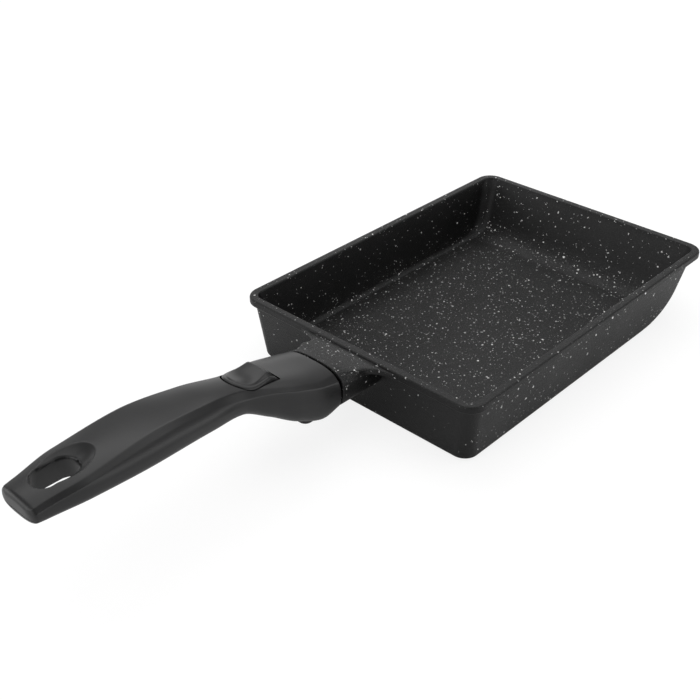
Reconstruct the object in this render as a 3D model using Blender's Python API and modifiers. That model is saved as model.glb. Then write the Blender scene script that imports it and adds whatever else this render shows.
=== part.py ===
"""Rectangular crepe pan with a cast stub and a handle that is released by a sprung button.

The origin lies on the flat underside, below the middle of the rim. +X points away from the
handle, +Z up.
The handle, its socket and the latch are laid out along the socket axis, which starts at the
seam between stub and handle and rises backwards.
"""
import math

import bmesh
import bpy
import numpy as np
from mathutils import Matrix, Vector

# Casting of the pan
PAN_LENGTH = 0.2100
PAN_WIDTH = 0.1500
PAN_HEIGHT = 0.0362
CORNER_RADIUS = 0.0095
FAR_CORNER_RADIUS = 0.0105
WALL = 0.0024
FLOOR = 0.0032
SIDE_DRAFT = 0.111
FAR_DRAFT = 0.394
LIP_OVERHANG = 0.0022
LIP_DEPTH = 0.0045
BEAD_RADIUS = 0.0014
BASE_RADIUS = 0.0022
FAR_BASE_RADIUS = 0.0235
INNER_RADIUS = 0.0030
FAR_INNER_RADIUS = 0.0160
INNER_CORNER_RADIUS = 0.0049
FAR_INNER_CORNER_RADIUS = 0.0068
BASE_STEP = 0.0003
BASE_STEP_MARGIN = 0.0060
# Sweep of the far wall: growth of its corner, least radius and steepness, heights of the rings
SWEEP_BLEND = 0.30
SWEEP_LEAST = 0.0010
SWEEP_STEEP = 0.15
FOOT_SHARES = (0.0, 0.05, 0.18, 0.40, 0.70, 1.0)
SWEEP_SHARES = (0.14, 0.33, 0.55, 0.78, 1.0)
# Turn from wall to lip: drop below the lip's underside, share of the way outwards
LIP_UNDERSIDE = ((0.0012, 0.0), (0.0004, 0.25), (0.0, 0.75), (-0.0009, 1.0))

# Stub between the pan and the handle
STUB_LENGTH = 0.0243
STUB_HALF_WIDTH = 0.0190
STUB_TAPER = 0.0006
STUB_HEIGHT = 0.0208
STUB_DROP_AT_RIM = 0.0008
STUB_DROP_AT_SEAM = 0.0003
FLANGE_NARROWING = 0.0010
FLANGE_FLARE_LENGTH = 0.0090
FLANGE_FLARE_WIDTH = 0.0150
FLANGE_UNDERSIDE_RISE = 0.120
FLANGE_UNDERSIDE_DROP = 0.0006
FLANGE_SINK = 0.0003
FLANGE_SETBACK = 0.0004
FLANGE_END_GAP = 0.0045
FLANGE_END_EASE = 0.0012

# Socket axis
AXIS_RISE = math.radians(14.0)
SEAM_GAP = 0.0007
SEAM_HEIGHT = 0.0316

# Tongue of the casting that the handle slides onto
TONGUE_WIDTH = 0.0120
TONGUE_THICKNESS = 0.0070
TONGUE_LENGTH = 0.0250
TONGUE_LEVEL = -0.0010
TONGUE_ROOT = 0.0060
TONGUE_EDGE = 0.0010
NOTCH_START = 0.0118
NOTCH_LENGTH = 0.0040
NOTCH_DEPTH = 0.0018

# Moulded handle: distance from the seam, half width, level of the crown, thickness, squareness
HANDLE_LENGTH = 0.1546
SEAM_STATION = (0.0, 0.0192, 0.0425, 0.0211, 3.1)
COLLAR_STATION = (0.0110, 0.0193, 0.0448, 0.0247, 3.1)
SHOULDER_STATION = (0.0230, 0.0179, 0.0479, 0.0234, 2.9)
NECK_STATION = (0.0360, 0.0141, 0.0517, 0.0193, 2.6)
WAIST_STATION = (0.0505, 0.0111, 0.0556, 0.0153, 2.4)
GRIP_STATION = (0.0705, 0.0143, 0.0597, 0.0150, 2.3)
PALM_STATION = (0.0980, 0.0171, 0.0621, 0.0154, 2.3)
TAIL_STATION = (0.1300, 0.0152, 0.0606, 0.0136, 2.4)
NARROW_STATION = (0.1480, 0.0122, 0.0582, 0.0114, 2.6)
END_STATION = (HANDLE_LENGTH, 0.0116, 0.0570, 0.0092, 2.8)
BELLY_SQUARENESS = 0.8
END_ROUNDING = 0.0022
END_CORNER = 0.0050
MOUTH_CHAMFER = 0.0006
FLUTE_DEPTH = 0.0006
FLUTE_FADE = 0.0300
FLUTE_TAIL_FADE = 0.0120
FLUTE_LEVEL = 0.12
FLUTE_SPREAD = 0.22
FLUTE_SIDE = 0.30
PAD_START = 0.0020
PAD_LENGTH = 0.0146
PAD_HALF_WIDTH = 0.0115
PAD_CORNER = 0.0035
PAD_LEVEL = 0.0192
PAD_HEIGHT = 0.0060

# Hanging slot at the tail
SLOT_LENGTH = 0.0206
SLOT_WIDTH = 0.0127
SLOT_WIDENING = 0.0004
SLOT_MIDDLE = 0.1368
DISH_LENGTH = 0.0290
DISH_WIDTH = 0.0190
DISH_DEPTH = 0.0034
DISH_LEAD = 0.0035

# Steel frame in the socket
SHEET = 0.0012
SLIDE_GAP = 0.00035
FRAME_START = 0.0008
FRAME_EAR = 0.0024
FRAME_STEP = 0.0008
FRAME_SIDE_RISE = 0.0008
FRAME_SHOULDER = 0.0180
SOCKET_GAP = 0.0003
SOCKET_HEADROOM = 0.0015

# Latch
PIN_RADIUS = 0.0015
PIN_DISTANCE = 0.0300
PIN_LEVEL = 0.0059
BARREL_RADIUS = 0.0022
LEVER_WIDTH = 0.0104
LEVER_THICKNESS = 0.0016
LEVER_REAR_REACH = 0.0150
LEVER_REAR_RISE = 0.0012
HOOK_THICKNESS = 0.0020
HOOK_GAP = 0.0004
HOOK_ROOF_GAP = 0.0006
LEVER_NOSE = 0.0009
LEVER_NOSE_DROP = 0.0003
LEVER_KNEE = 0.0012
BARREL_PROUD = 0.0003
POCKET_SIDE_GAP = 0.0006
POCKET_REAR_GAP = 0.0008
POCKET_FLOOR_GAP = 0.0007
PRESS_ANGLE = math.radians(6.0)

# Release button on the crown
BUTTON_LENGTH = 0.0235
BUTTON_HALF_WIDTH = 0.0090
BUTTON_FRONT_HALF = 0.0074
BUTTON_BEND = 0.58
BUTTON_FRONT_CORNER = 0.0014
BUTTON_ROUNDNESS = 0.85
BUTTON_LIP_HEIGHT = 0.0043
BUTTON_LIP_PLACE = 0.27
BUTTON_RAMP_BEND = 1.4
BUTTON_FALL_BEND = 2.4
BUTTON_LIP_FALL = 0.20
BUTTON_DISH_DEPTH = 0.0006
BUTTON_REAR_HEIGHT = 0.0010
BUTTON_SKIRT = 0.0030
BUTTON_EDGE = 0.0003
BUTTON_SIDE_GAP = 0.0005
BUTTON_REAR_GAP = 0.0014
WELL_DEPTH_GAP = 0.0009
BOSS_RADIUS = 0.0030
BOSS_SINK = 0.0012

# Spring under the rear arm of the lever
SPRING_RADIUS = 0.0024
SPRING_WIRE = 0.0003
SPRING_TURNS = 4.0
SPRING_BACK = 0.0120
SPRING_LENGTH = 0.0062
SPRING_SEAT_GAP = 0.0005

# Screw that holds the frame in the handle
SCREW_DISTANCE = 0.0068
SCREW_RADIUS = 0.0020
HEAD_RADIUS = 0.0037
HEAD_HEIGHT = 0.0023
WASHER_RADIUS = 0.0041
WASHER_THICKNESS = 0.0008
SCREW_SEAT = 0.0040
SCREW_TIP = 0.0004
RECESS_LENGTH = 0.0040
RECESS_WIDTH = 0.0010
RECESS_DEPTH = 0.0012
CLEARANCE = 0.0003
# Cutters pass the face they cut by the overcut; joined blocks differ by a hair in width
OVERCUT = 0.0020
HAIR = 0.00005

CORNER_STEPS = 7
SECTION_POINTS = 44
STATION_STEP = 0.0045


def clear_scene():
    """Removes every object, so that the file holds the pan alone."""
    for thing in list(bpy.data.objects):
        bpy.data.objects.remove(thing, do_unlink=True)


def collection(name):
    group = bpy.data.collections.get(name) or bpy.data.collections.new(name)
    if group.name not in bpy.context.scene.collection.children:
        bpy.context.scene.collection.children.link(group)
    return group


def material(name, colour, roughness, metallic=0.0):
    made = bpy.data.materials.get(name) or bpy.data.materials.new(name)
    made.use_nodes = True
    shader = made.node_tree.nodes["Principled BSDF"]
    shader.inputs["Base Color"].default_value = (*colour, 1.0)
    shader.inputs["Roughness"].default_value = roughness
    shader.inputs["Metallic"].default_value = metallic
    return made


def place(mesh, name, group, finish=None, parent=None):
    thing = bpy.data.objects.new(name, mesh)
    group.objects.link(thing)
    if finish:
        mesh.materials.clear()
        mesh.materials.append(finish)
    if parent:
        thing.parent = parent
    if group.name == "cutters":
        thing.hide_render = True
        thing.display_type = "WIRE"
    return thing


def boolean(target, cutter, operation="DIFFERENCE"):
    step = target.modifiers.new(cutter.name, "BOOLEAN")
    step.operation = operation
    step.solver = "EXACT"
    step.object = cutter


def smooth(mesh, angle=math.radians(35)):
    mesh.shade_smooth()
    mesh.set_sharp_from_angle(angle=angle)


def loft(name, rings):
    """Closed solid through rings of equal point counts, capped at both ends."""
    rings = [np.asarray(ring, float) for ring in rings]
    count = len(rings[0])
    mesh = bpy.data.meshes.new(name)
    work = bmesh.new()
    grid = [[work.verts.new(Vector(point)) for point in ring] for ring in rings]
    for low, high in zip(grid, grid[1:]):
        for i in range(count):
            j = (i + 1) % count
            work.faces.new((low[i], low[j], high[j], high[i]))
    work.faces.new(grid[0])
    work.faces.new(list(reversed(grid[-1])))
    bmesh.ops.recalc_face_normals(work, faces=work.faces)
    work.to_mesh(mesh)
    work.free()
    smooth(mesh)
    return mesh


def plate(name, outline, thickness):
    """Flat outline in X and Y, drawn as a filled curve and thickened evenly about Z = 0."""
    curve = bpy.data.curves.new(name, "CURVE")
    curve.dimensions = "2D"
    curve.fill_mode = "BOTH"
    curve.extrude = thickness / 2
    spline = curve.splines.new("POLY")
    spline.points.add(len(outline) - 1)
    for point, (x, y) in zip(spline.points, outline):
        point.co = (x, y, 0.0, 1.0)
    spline.use_cyclic_u = True
    return curve_mesh(name, curve)


def tube(name, points, radius, resolution=1):
    """Wire along the points, with filled ends."""
    curve = bpy.data.curves.new(name, "CURVE")
    curve.dimensions = "3D"
    curve.bevel_depth = radius
    curve.bevel_resolution = resolution
    curve.use_fill_caps = True
    spline = curve.splines.new("POLY")
    spline.points.add(len(points) - 1)
    for point, (x, y, z) in zip(spline.points, points):
        point.co = (x, y, z, 1.0)
    return curve_mesh(name, curve)


def curve_mesh(name, curve):
    """Mesh of a curve with its loose caps welded."""
    holder = bpy.data.objects.new(name + "_curve", curve)
    bpy.context.scene.collection.objects.link(holder)
    graph = bpy.context.evaluated_depsgraph_get()
    mesh = bpy.data.meshes.new_from_object(holder.evaluated_get(graph))
    mesh.name = name
    bpy.data.objects.remove(holder)
    work = bmesh.new()
    work.from_mesh(mesh)
    bmesh.ops.remove_doubles(work, verts=work.verts, dist=0.00001)
    bmesh.ops.recalc_face_normals(work, faces=work.faces)
    work.to_mesh(mesh)
    work.free()
    return mesh


def box(name, low, high):
    """Box between two corners."""
    work = bmesh.new()
    size = [b - a for a, b in zip(low, high)]
    middle = [(a + b) / 2 for a, b in zip(low, high)]
    shape = Matrix.Translation(middle) @ Matrix.Diagonal((*size, 1.0))
    bmesh.ops.create_cube(work, size=1.0, matrix=shape)
    mesh = bpy.data.meshes.new(name)
    work.to_mesh(mesh)
    work.free()
    return mesh


def cylinder(name, radius, start, end, axis="Z", sides=32, middle=(0.0, 0.0)):
    """Cylinder from start to end along an axis, centred on middle in the other two."""
    work = bmesh.new()
    bmesh.ops.create_cone(
        work, cap_ends=True, segments=sides, radius1=radius, radius2=radius, depth=end - start
    )
    level = (start + end) / 2
    if axis == "Z":
        turn, shift = Matrix.Identity(4), (middle[0], middle[1], level)
    else:
        turn, shift = Matrix.Rotation(math.radians(90), 4, "X"), (middle[0], level, middle[1])
    bmesh.ops.transform(work, matrix=Matrix.Translation(shift) @ turn, verts=work.verts)
    mesh = bpy.data.meshes.new(name)
    work.to_mesh(mesh)
    work.free()
    smooth(mesh)
    return mesh


def turned(name, profile):
    """Mesh turned about Z from a profile of (radius, height) that runs down the outer side."""
    mesh = bpy.data.meshes.new(name)
    edges = [(i, i + 1) for i in range(len(profile) - 1)]
    mesh.from_pydata([(r, 0.0, z) for r, z in profile], edges, [])
    return mesh


def screw_modifier(thing, steps=32):
    turn = thing.modifiers.new("turn", "SCREW")
    turn.steps = steps
    turn.render_steps = steps
    turn.use_merge_vertices = True
    turn.merge_threshold = 0.00001
    return turn


def monotone(xs, ys, x):
    """Smooth interpolation that doesn't overshoot between stations."""
    xs, ys = np.asarray(xs, float), np.asarray(ys, float)
    gap = np.diff(xs)
    slope = np.diff(ys) / gap
    tangent = np.zeros_like(xs)
    for i in range(1, len(xs) - 1):
        if slope[i - 1] * slope[i] > 0:
            a, b = 2 * gap[i] + gap[i - 1], gap[i] + 2 * gap[i - 1]
            tangent[i] = (a + b) / (a / slope[i - 1] + b / slope[i])
    tangent[0], tangent[-1] = slope[0], slope[-1]
    i = int(np.clip(np.searchsorted(xs, x) - 1, 0, len(gap) - 1))
    t = (x - xs[i]) / gap[i]
    h00, h10 = (1 + 2 * t) * (1 - t) ** 2, t * (1 - t) ** 2
    h01, h11 = t * t * (3 - 2 * t), t * t * (t - 1)
    return h00 * ys[i] + h10 * gap[i] * tangent[i] + h01 * ys[i + 1] + h11 * gap[i] * tangent[i + 1]


# Places that several pieces share
SEAM_X = -PAN_LENGTH / 2 - STUB_LENGTH
AXIS = Vector((-math.cos(AXIS_RISE), 0.0, math.sin(AXIS_RISE)))
UPWARD = Vector((math.sin(AXIS_RISE), 0.0, math.cos(AXIS_RISE)))
AXIS_START = Vector((SEAM_X, 0.0, SEAM_HEIGHT))
TONGUE_TOP = TONGUE_LEVEL + TONGUE_THICKNESS / 2
TONGUE_BOTTOM = TONGUE_LEVEL - TONGUE_THICKNESS / 2
FRAME_FLOOR_TOP = TONGUE_BOTTOM - SLIDE_GAP
FRAME_FLOOR_BOTTOM = FRAME_FLOOR_TOP - SHEET
FRAME_INNER = TONGUE_WIDTH / 2 + SLIDE_GAP
FRAME_OUTER = FRAME_INNER + SHEET
SOCKET_HALF = FRAME_OUTER + SOCKET_GAP
STATIONS = (
    SEAM_STATION,
    COLLAR_STATION,
    SHOULDER_STATION,
    NECK_STATION,
    WAIST_STATION,
    GRIP_STATION,
    PALM_STATION,
    TAIL_STATION,
    NARROW_STATION,
    END_STATION,
)


def on_axis(distance, level, side=0.0):
    """World point at a distance behind the seam and a level above the socket axis."""
    return AXIS_START + AXIS * distance + UPWARD * level + Vector((0.0, side, 0.0))


PIN_POINT = on_axis(PIN_DISTANCE, PIN_LEVEL)
BUTTON_FRONT = PIN_POINT.x
BUTTON_REAR = BUTTON_FRONT - BUTTON_LENGTH
SPRING_X = PIN_POINT.x - SPRING_BACK
ARM_LEVEL = PIN_POINT.z + LEVER_REAR_RISE
ARM_UNDERSIDE = ARM_LEVEL - LEVER_THICKNESS / 2
SPRING_TOP = ARM_UNDERSIDE - CLEARANCE
SPRING_FOOT = SPRING_TOP - SPRING_LENGTH


def handle_size(distance):
    """Half width, crown level, thickness and squareness of the handle behind the seam."""
    places = [station[0] for station in STATIONS]
    return [monotone(places, [station[k] for station in STATIONS], distance) for k in (1, 2, 3, 4)]


def crown_level(x):
    """Height of the middle of the handle's crown at a world X."""
    return handle_size(SEAM_X - x)[1]


def surface_level(x, y):
    """Height of the handle's upper surface at a world X and Y."""
    half, crown, thickness, squareness = handle_size(SEAM_X - x)
    share = min(0.98, abs(y) / half)
    drop = 1 - (1 - share ** squareness) ** (1 / squareness)
    return crown - thickness / 2 * drop


def wall_inset(z, draft, radius, top, foot):
    """How far inwards a leaning wall with a round foot stands at a height, and how steep it is there."""
    steep = math.pi / 2 - math.atan(draft)
    if z - foot < radius * (1 - math.cos(steep)):
        turn = math.acos(1 - (z - foot) / radius)
        base = top + draft * (PAN_HEIGHT - foot)
        return base + radius * (math.tan(steep / 2) - math.sin(turn)), turn
    return top + draft * (PAN_HEIGHT - z), steep


def pan_ring(z, side_inset, far_inset, near_radius, far_radii):
    """Level rounded rectangle round the pan. Each far corner is a quarter of an ellipse."""
    half_length, half_width = PAN_LENGTH / 2, PAN_WIDTH / 2
    points = []
    corners = ((1, 1, 0), (-1, 1, 90), (-1, -1, 180), (1, -1, 270))
    for along, across, start in corners:
        far = along > 0
        radius_x, radius_y = far_radii if far else (near_radius, near_radius)
        centre_x = along * (half_length - (far_inset if far else side_inset) - radius_x)
        centre_y = across * (half_width - side_inset - radius_y)
        for k in range(CORNER_STEPS + 1):
            angle = math.radians(start + 90 * k / CORNER_STEPS)
            points.append((centre_x + radius_x * math.cos(angle), centre_y + radius_y * math.sin(angle), z))
    return points


def wall_ring(z, top, foot, side_radius, far_radius, corner, far_corner):
    """Level ring of the walls. The far corner's radius grows from the side's foot as the sweep rises."""
    side, side_turn = wall_inset(z, SIDE_DRAFT, side_radius, top, foot)
    far, turn = wall_inset(z, FAR_DRAFT, far_radius, top, foot)
    steep = math.pi / 2 - math.atan(FAR_DRAFT)
    radius = side_radius + (far_corner - side_radius) * (turn / steep) ** SWEEP_BLEND
    rise = min(1.0, (z - foot) / side_radius)
    radius_y = max(radius * math.sqrt(rise), SWEEP_LEAST)
    return pan_ring(z, side, far, corner, (radius / max(math.sin(turn), SWEEP_STEEP), radius_y))


def wall_levels(foot, side_radius, far_radius):
    """Heights of the walls' rings: through the sides' round foot, then up the far wall's sweep."""
    low = side_radius * (1 - SIDE_DRAFT)
    high = far_radius * (1 - math.sin(math.atan(FAR_DRAFT)))
    levels = [foot + low * share for share in FOOT_SHARES]
    return levels + [foot + low + (high - low) * share for share in SWEEP_SHARES]


def pan_shell():
    """Rings from the middle of the underside, up the outside, over the rim and down to the floor."""
    rings = []
    corner = CORNER_RADIUS - LIP_OVERHANG
    outer = (LIP_OVERHANG, BASE_STEP, BASE_RADIUS, FAR_BASE_RADIUS, corner, FAR_CORNER_RADIUS)
    side, _ = wall_inset(BASE_STEP, SIDE_DRAFT, BASE_RADIUS, LIP_OVERHANG, BASE_STEP)
    far, _ = wall_inset(BASE_STEP, FAR_DRAFT, FAR_BASE_RADIUS, LIP_OVERHANG, BASE_STEP)
    land, land_far = side + BASE_STEP_MARGIN, far + BASE_STEP_MARGIN
    radii = (FAR_CORNER_RADIUS, FAR_CORNER_RADIUS)
    rings.append(pan_ring(0.0, land, land_far, corner, radii))
    step = BASE_STEP
    rings.append(pan_ring(step, land - 2 * step, land_far - 2 * step, corner, radii))
    for z in wall_levels(BASE_STEP, BASE_RADIUS, FAR_BASE_RADIUS):
        rings.append(wall_ring(z, *outer))
    under = PAN_HEIGHT - LIP_DEPTH
    for drop, out in LIP_UNDERSIDE:
        level = under - drop
        side = (LIP_OVERHANG + SIDE_DRAFT * (PAN_HEIGHT - level)) * (1 - out)
        far = (LIP_OVERHANG + FAR_DRAFT * (PAN_HEIGHT - level)) * (1 - out)
        radius = FAR_CORNER_RADIUS + (CORNER_RADIUS - FAR_CORNER_RADIUS) * out
        rings.append(pan_ring(level, side, far, corner + (CORNER_RADIUS - corner) * out, (radius, radius)))
    inner = LIP_OVERHANG + WALL
    for angle in (0, 30, 60, 90):
        inset = BEAD_RADIUS * (1 - math.cos(math.radians(angle)))
        level = PAN_HEIGHT - BEAD_RADIUS * (1 - math.sin(math.radians(angle)))
        radius = CORNER_RADIUS - inset
        rings.append(pan_ring(level, inset, inset, radius, (radius, radius)))
    for angle in (0, 45, 90):
        inset = inner - BEAD_RADIUS * (1 - math.sin(math.radians(angle)))
        level = PAN_HEIGHT - BEAD_RADIUS * (1 - math.cos(math.radians(angle)))
        radius = CORNER_RADIUS - inset
        rings.append(pan_ring(level, inset, inset, radius, (radius, radius)))
    within = (inner, FLOOR, INNER_RADIUS, FAR_INNER_RADIUS, INNER_CORNER_RADIUS, FAR_INNER_CORNER_RADIUS)
    for z in reversed(wall_levels(FLOOR, INNER_RADIUS, FAR_INNER_RADIUS)):
        rings.append(wall_ring(z, *within))
    return loft("pan_body", rings)


def squircle(half_width, half_height, squareness, belly, count, flute=0.0):
    """Rounded section in Y and Z, squarer by belly below, with a shallow flute along each side."""
    angles = np.linspace(0, 2 * math.pi, count, endpoint=False)
    cosine, sine = np.cos(angles), np.sin(angles)
    power = 2 / (squareness + belly * (sine < 0))
    across = half_width * np.sign(cosine) * np.abs(cosine) ** power
    up = half_height * np.sign(sine) * np.abs(sine) ** power
    level = (up / half_height - FLUTE_LEVEL) / FLUTE_SPREAD
    inward = flute * np.exp(-level * level) * (np.abs(cosine) > FLUTE_SIDE)
    return across - np.sign(across) * inward, up


def stub_block():
    """Block of the stub, from inside the pan's wall to the seam."""
    rings = []
    seam_top = crown_level(SEAM_X) - STUB_DROP_AT_SEAM
    low = seam_top - STUB_HEIGHT
    rim_top = PAN_HEIGHT - STUB_DROP_AT_RIM
    inside = -PAN_LENGTH / 2 + LIP_OVERHANG + WALL / 2
    stations = 5
    for k in range(stations + 1):
        t = k / stations
        top = rim_top + (seam_top - rim_top) * t
        width = STUB_HALF_WIDTH - STUB_TAPER * (1 - t)
        across, up = squircle(width, (top - low) / 2, SEAM_STATION[4], BELLY_SQUARENESS, SECTION_POINTS)
        middle = (top + low) / 2
        rings.append([
            (inside + (SEAM_X + SEAM_GAP - inside) * t + wall_lean(middle + z) * (1 - t), y, middle + z)
            for y, z in zip(across, up)
        ])
    return loft("stub_block", rings)


def wall_lean(z):
    """How far the middle of the wall stands inwards at a height."""
    return SIDE_DRAFT * (PAN_HEIGHT - z)


def flange_outline():
    """Plan of the flange: it leaves the stub's sides in two hollow curves and runs into the rim."""
    rim = -PAN_LENGTH / 2 + LIP_OVERHANG
    lip = -PAN_LENGTH / 2 - FLANGE_SETBACK
    half = STUB_HALF_WIDTH - FLANGE_NARROWING
    side = []
    for k in range(9):
        angle = math.radians(90 * k / 8)
        x = lip - FLANGE_FLARE_LENGTH * (1 - math.sin(angle))
        y = half + FLANGE_FLARE_WIDTH * (1 - math.cos(angle))
        side.append((x, y))
    seam = SEAM_X + SEAM_GAP + FLANGE_END_GAP
    right = [(seam, half - FLANGE_END_EASE)] + side + [(rim, half + FLANGE_FLARE_WIDTH)]
    return right + [(x, -y) for x, y in reversed(right)]


def flange():
    """Flange that carries the stub's top into the rim; its underside starts level with the lip's."""
    rim_top = PAN_HEIGHT - STUB_DROP_AT_RIM - FLANGE_SINK
    under = PAN_HEIGHT - LIP_DEPTH - FLANGE_UNDERSIDE_DROP
    seam_top = crown_level(SEAM_X) - STUB_DROP_AT_SEAM
    rise = (seam_top - rim_top) / STUB_LENGTH
    mesh = plate("flange", flange_outline(), WALL)
    corner = -PAN_LENGTH / 2
    for vertex in mesh.vertices:
        outwards = corner - vertex.co.x
        if vertex.co.z > 0:
            vertex.co.z = rim_top + outwards * rise
        else:
            vertex.co.z = under + outwards * FLANGE_UNDERSIDE_RISE
    return mesh


def handle_mesh():
    """Loft of the handle's sections from the seam to the rounded tail."""
    places = [MOUTH_CHAMFER]
    count = int(round((HANDLE_LENGTH - END_ROUNDING) / STATION_STEP))
    places += list(np.linspace(MOUTH_CHAMFER, HANDLE_LENGTH - END_ROUNDING, count + 1)[1:])
    rings = [handle_section(0.0, MOUTH_CHAMFER, MOUTH_CHAMFER)]
    rings += [handle_section(distance, 0.0, 0.0) for distance in places]
    for angle in (30, 60, 90):
        turn = math.radians(angle)
        distance = HANDLE_LENGTH - END_ROUNDING * (1 - math.sin(turn))
        inset = 1 - math.cos(turn)
        rings.append(handle_section(distance, END_CORNER * inset, END_ROUNDING * inset))
    return loft("handle_body", rings)


def handle_section(distance, side_inset, inset):
    """Section of the handle behind the seam, drawn in by the insets at its mouth and tail."""
    half, crown, thickness, squareness = handle_size(distance)
    tail = max(0.0, HANDLE_LENGTH - distance)
    fade = min(1.0, distance / FLUTE_FADE, tail / FLUTE_TAIL_FADE)
    belly = BELLY_SQUARENESS * max(0.0, 1 - distance / NECK_STATION[0])
    across, up = squircle(
        half - side_inset, thickness / 2 - inset, squareness, belly, SECTION_POINTS, FLUTE_DEPTH * fade
    )
    middle = crown - thickness / 2
    return [(SEAM_X - distance, y, middle + z) for y, z in zip(across, up)]


def rounded_rectangle(low, high, half_width, radius, steps=5):
    """Outline with round corners from low to high in X, centred in Y."""
    points = []
    points_in_turn = ((high, 1, 0), (low, 1, 90), (low, -1, 180), (high, -1, 270))
    for x, side, start in points_in_turn:
        centre_x = x - radius if x == high else x + radius
        centre_y = side * (half_width - radius)
        for k in range(steps + 1):
            angle = math.radians(start + 90 * k / steps)
            points.append((centre_x + radius * math.cos(angle), centre_y + radius * math.sin(angle)))
    return points


def stadium(length, width, steps=8):
    """Outline with round ends, centred on the origin and long in X."""
    radius = width / 2
    reach = length / 2 - radius
    points = []
    for sign, start in ((1, -90), (-1, 90)):
        for k in range(steps + 1):
            angle = math.radians(start + 180 * k / steps)
            points.append((sign * reach + radius * math.cos(angle), radius * math.sin(angle)))
    return points


def button_outline(grow_side=0.0, grow_rear=0.0, steps=12):
    """Plan of the button: a straight front edge, sides that widen and a round rear, as a closed list."""
    half = BUTTON_HALF_WIDTH + grow_side
    front_half = BUTTON_FRONT_HALF + grow_side
    front = BUTTON_FRONT + grow_side
    rear = BUTTON_REAR - grow_rear
    bend = front - BUTTON_BEND * (front - rear)
    points = []
    for k in range(steps + 1):
        angle = math.radians(90 - 180 * k / steps)
        round_x = max(0.0, math.cos(angle)) ** BUTTON_ROUNDNESS
        points.append((bend - (bend - rear) * round_x, half * math.sin(angle)))
    soft = BUTTON_FRONT_CORNER
    corner = front - soft
    for k in range(1, 6):
        t = k / 6
        points.append((bend + (corner - bend) * t, -half + (half - front_half) * t))
    points.append((corner, -front_half))
    points += [(front, (front_half - soft) * share) for share in (-1.0, -0.5, 0.0, 0.5, 1.0)]
    points.append((corner, front_half))
    for k in range(1, 6):
        t = k / 6
        points.append((corner + (bend - corner) * t, front_half + (half - front_half) * t))
    return points


def button_top(share, across):
    """Height of the button's top above the crown, from its front (0) to its rear (1)."""
    lip = BUTTON_LIP_PLACE
    if share < lip:
        height = BUTTON_LIP_HEIGHT * math.sin(math.pi / 2 * share / lip) ** BUTTON_RAMP_BEND
    else:
        back = (share - lip) / (1 - lip)
        height = BUTTON_LIP_HEIGHT * (1 - back) ** BUTTON_FALL_BEND + BUTTON_REAR_HEIGHT * back
        height -= BUTTON_DISH_DEPTH * math.sin(math.pi * back) ** 2 * (1 - across * across)
    return height * (1 - BUTTON_LIP_FALL * across * across)


def button_underside(x):
    """Level of the button's underside: a skirt below the crown, and clear of the frame's ears."""
    ears = PIN_POINT.z + max(FRAME_EAR, BARREL_RADIUS) + CLEARANCE
    return max(crown_level(x) - BUTTON_SKIRT, ears)


def button_mesh():
    """Button cap: its outline is drawn in towards the middle in steps, over a level underside."""
    outline = button_outline()
    middle = (BUTTON_FRONT - 0.5 * BUTTON_LENGTH, 0.0)
    rings = []
    for shrink in (0.97, 0.5, 0.03):
        ring = [inwards(point, middle, shrink) for point in outline]
        rings.append([(x, y, button_underside(x)) for x, y, _ in ring])
    rings.append([(x, y, button_underside(x) + BUTTON_EDGE) for x, y in outline])
    level_steps = [(shrink, 0.0) for shrink in (0.12, 0.25, 0.42, 0.62, 0.82, 0.96)]
    for shrink, sunk in [(0.0, 1.0), (0.05, 0.25)] + level_steps:
        ring = []
        for point in outline:
            x, y, _ = inwards(point, middle, shrink)
            share = (BUTTON_FRONT - x) / BUTTON_LENGTH
            top = surface_level(x, y) + button_top(share, y / BUTTON_HALF_WIDTH)
            ring.append((x, y, top - sunk * BUTTON_EDGE))
        rings.append(ring)
    return loft("release_button", rings)


def inwards(point, middle, shrink, z=0.0):
    return (point[0] + (middle[0] - point[0]) * shrink, point[1] * (1 - shrink), z)


def strip_outline(path, thickness):
    """Outline of a bent strip of even thickness along a path of (x, z) points."""
    points = [Vector(point) for point in path]
    left, right = [], []
    for i, point in enumerate(points):
        before = (point - points[i - 1]).normalized() if i else None
        after = (points[i + 1] - point).normalized() if i < len(points) - 1 else None
        along = ((before or after) + (after or before)).normalized()
        normal = Vector((-along.y, along.x))
        spread = thickness / 2 / max(0.5, abs(along.dot(after or before)))
        left.append(point + normal * spread)
        right.append(point - normal * spread)
    return [tuple(point) for point in left + right[::-1]]


def upright(mesh):
    """Turns a plate drawn in X and Y so that its outline stands in X and Z."""
    mesh.transform(Matrix.Rotation(math.radians(90), 4, "X"))
    return mesh


def build():
    clear_scene()
    pieces = collection("crepe_pan")
    cutters = collection("cutters")
    coating = material("stone_coating", (0.030, 0.030, 0.031), 0.52, 0.0)
    moulding = material("black_moulding", (0.022, 0.022, 0.023), 0.38, 0.0)
    steel = material("plated_steel", (0.62, 0.62, 0.60), 0.32, 1.0)
    spring_steel = material("spring_steel", (0.50, 0.50, 0.49), 0.35, 1.0)

    axis = bpy.data.objects.new("socket_axis", None)
    axis.location = AXIS_START
    axis.rotation_euler = (0.0, -AXIS_RISE, math.pi)
    pieces.objects.link(axis)
    latch = bpy.data.objects.new("latch_axis", None)
    latch.location = PIN_POINT
    pieces.objects.link(latch)
    bpy.context.view_layer.update()

    make_pan(pieces, cutters, coating, axis)
    make_handle(pieces, cutters, moulding, axis)
    make_frame(pieces, cutters, steel, axis)
    make_screw(pieces, cutters, steel, axis)
    make_latch(pieces, cutters, steel, moulding, latch)
    make_spring(pieces, spring_steel)


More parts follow.
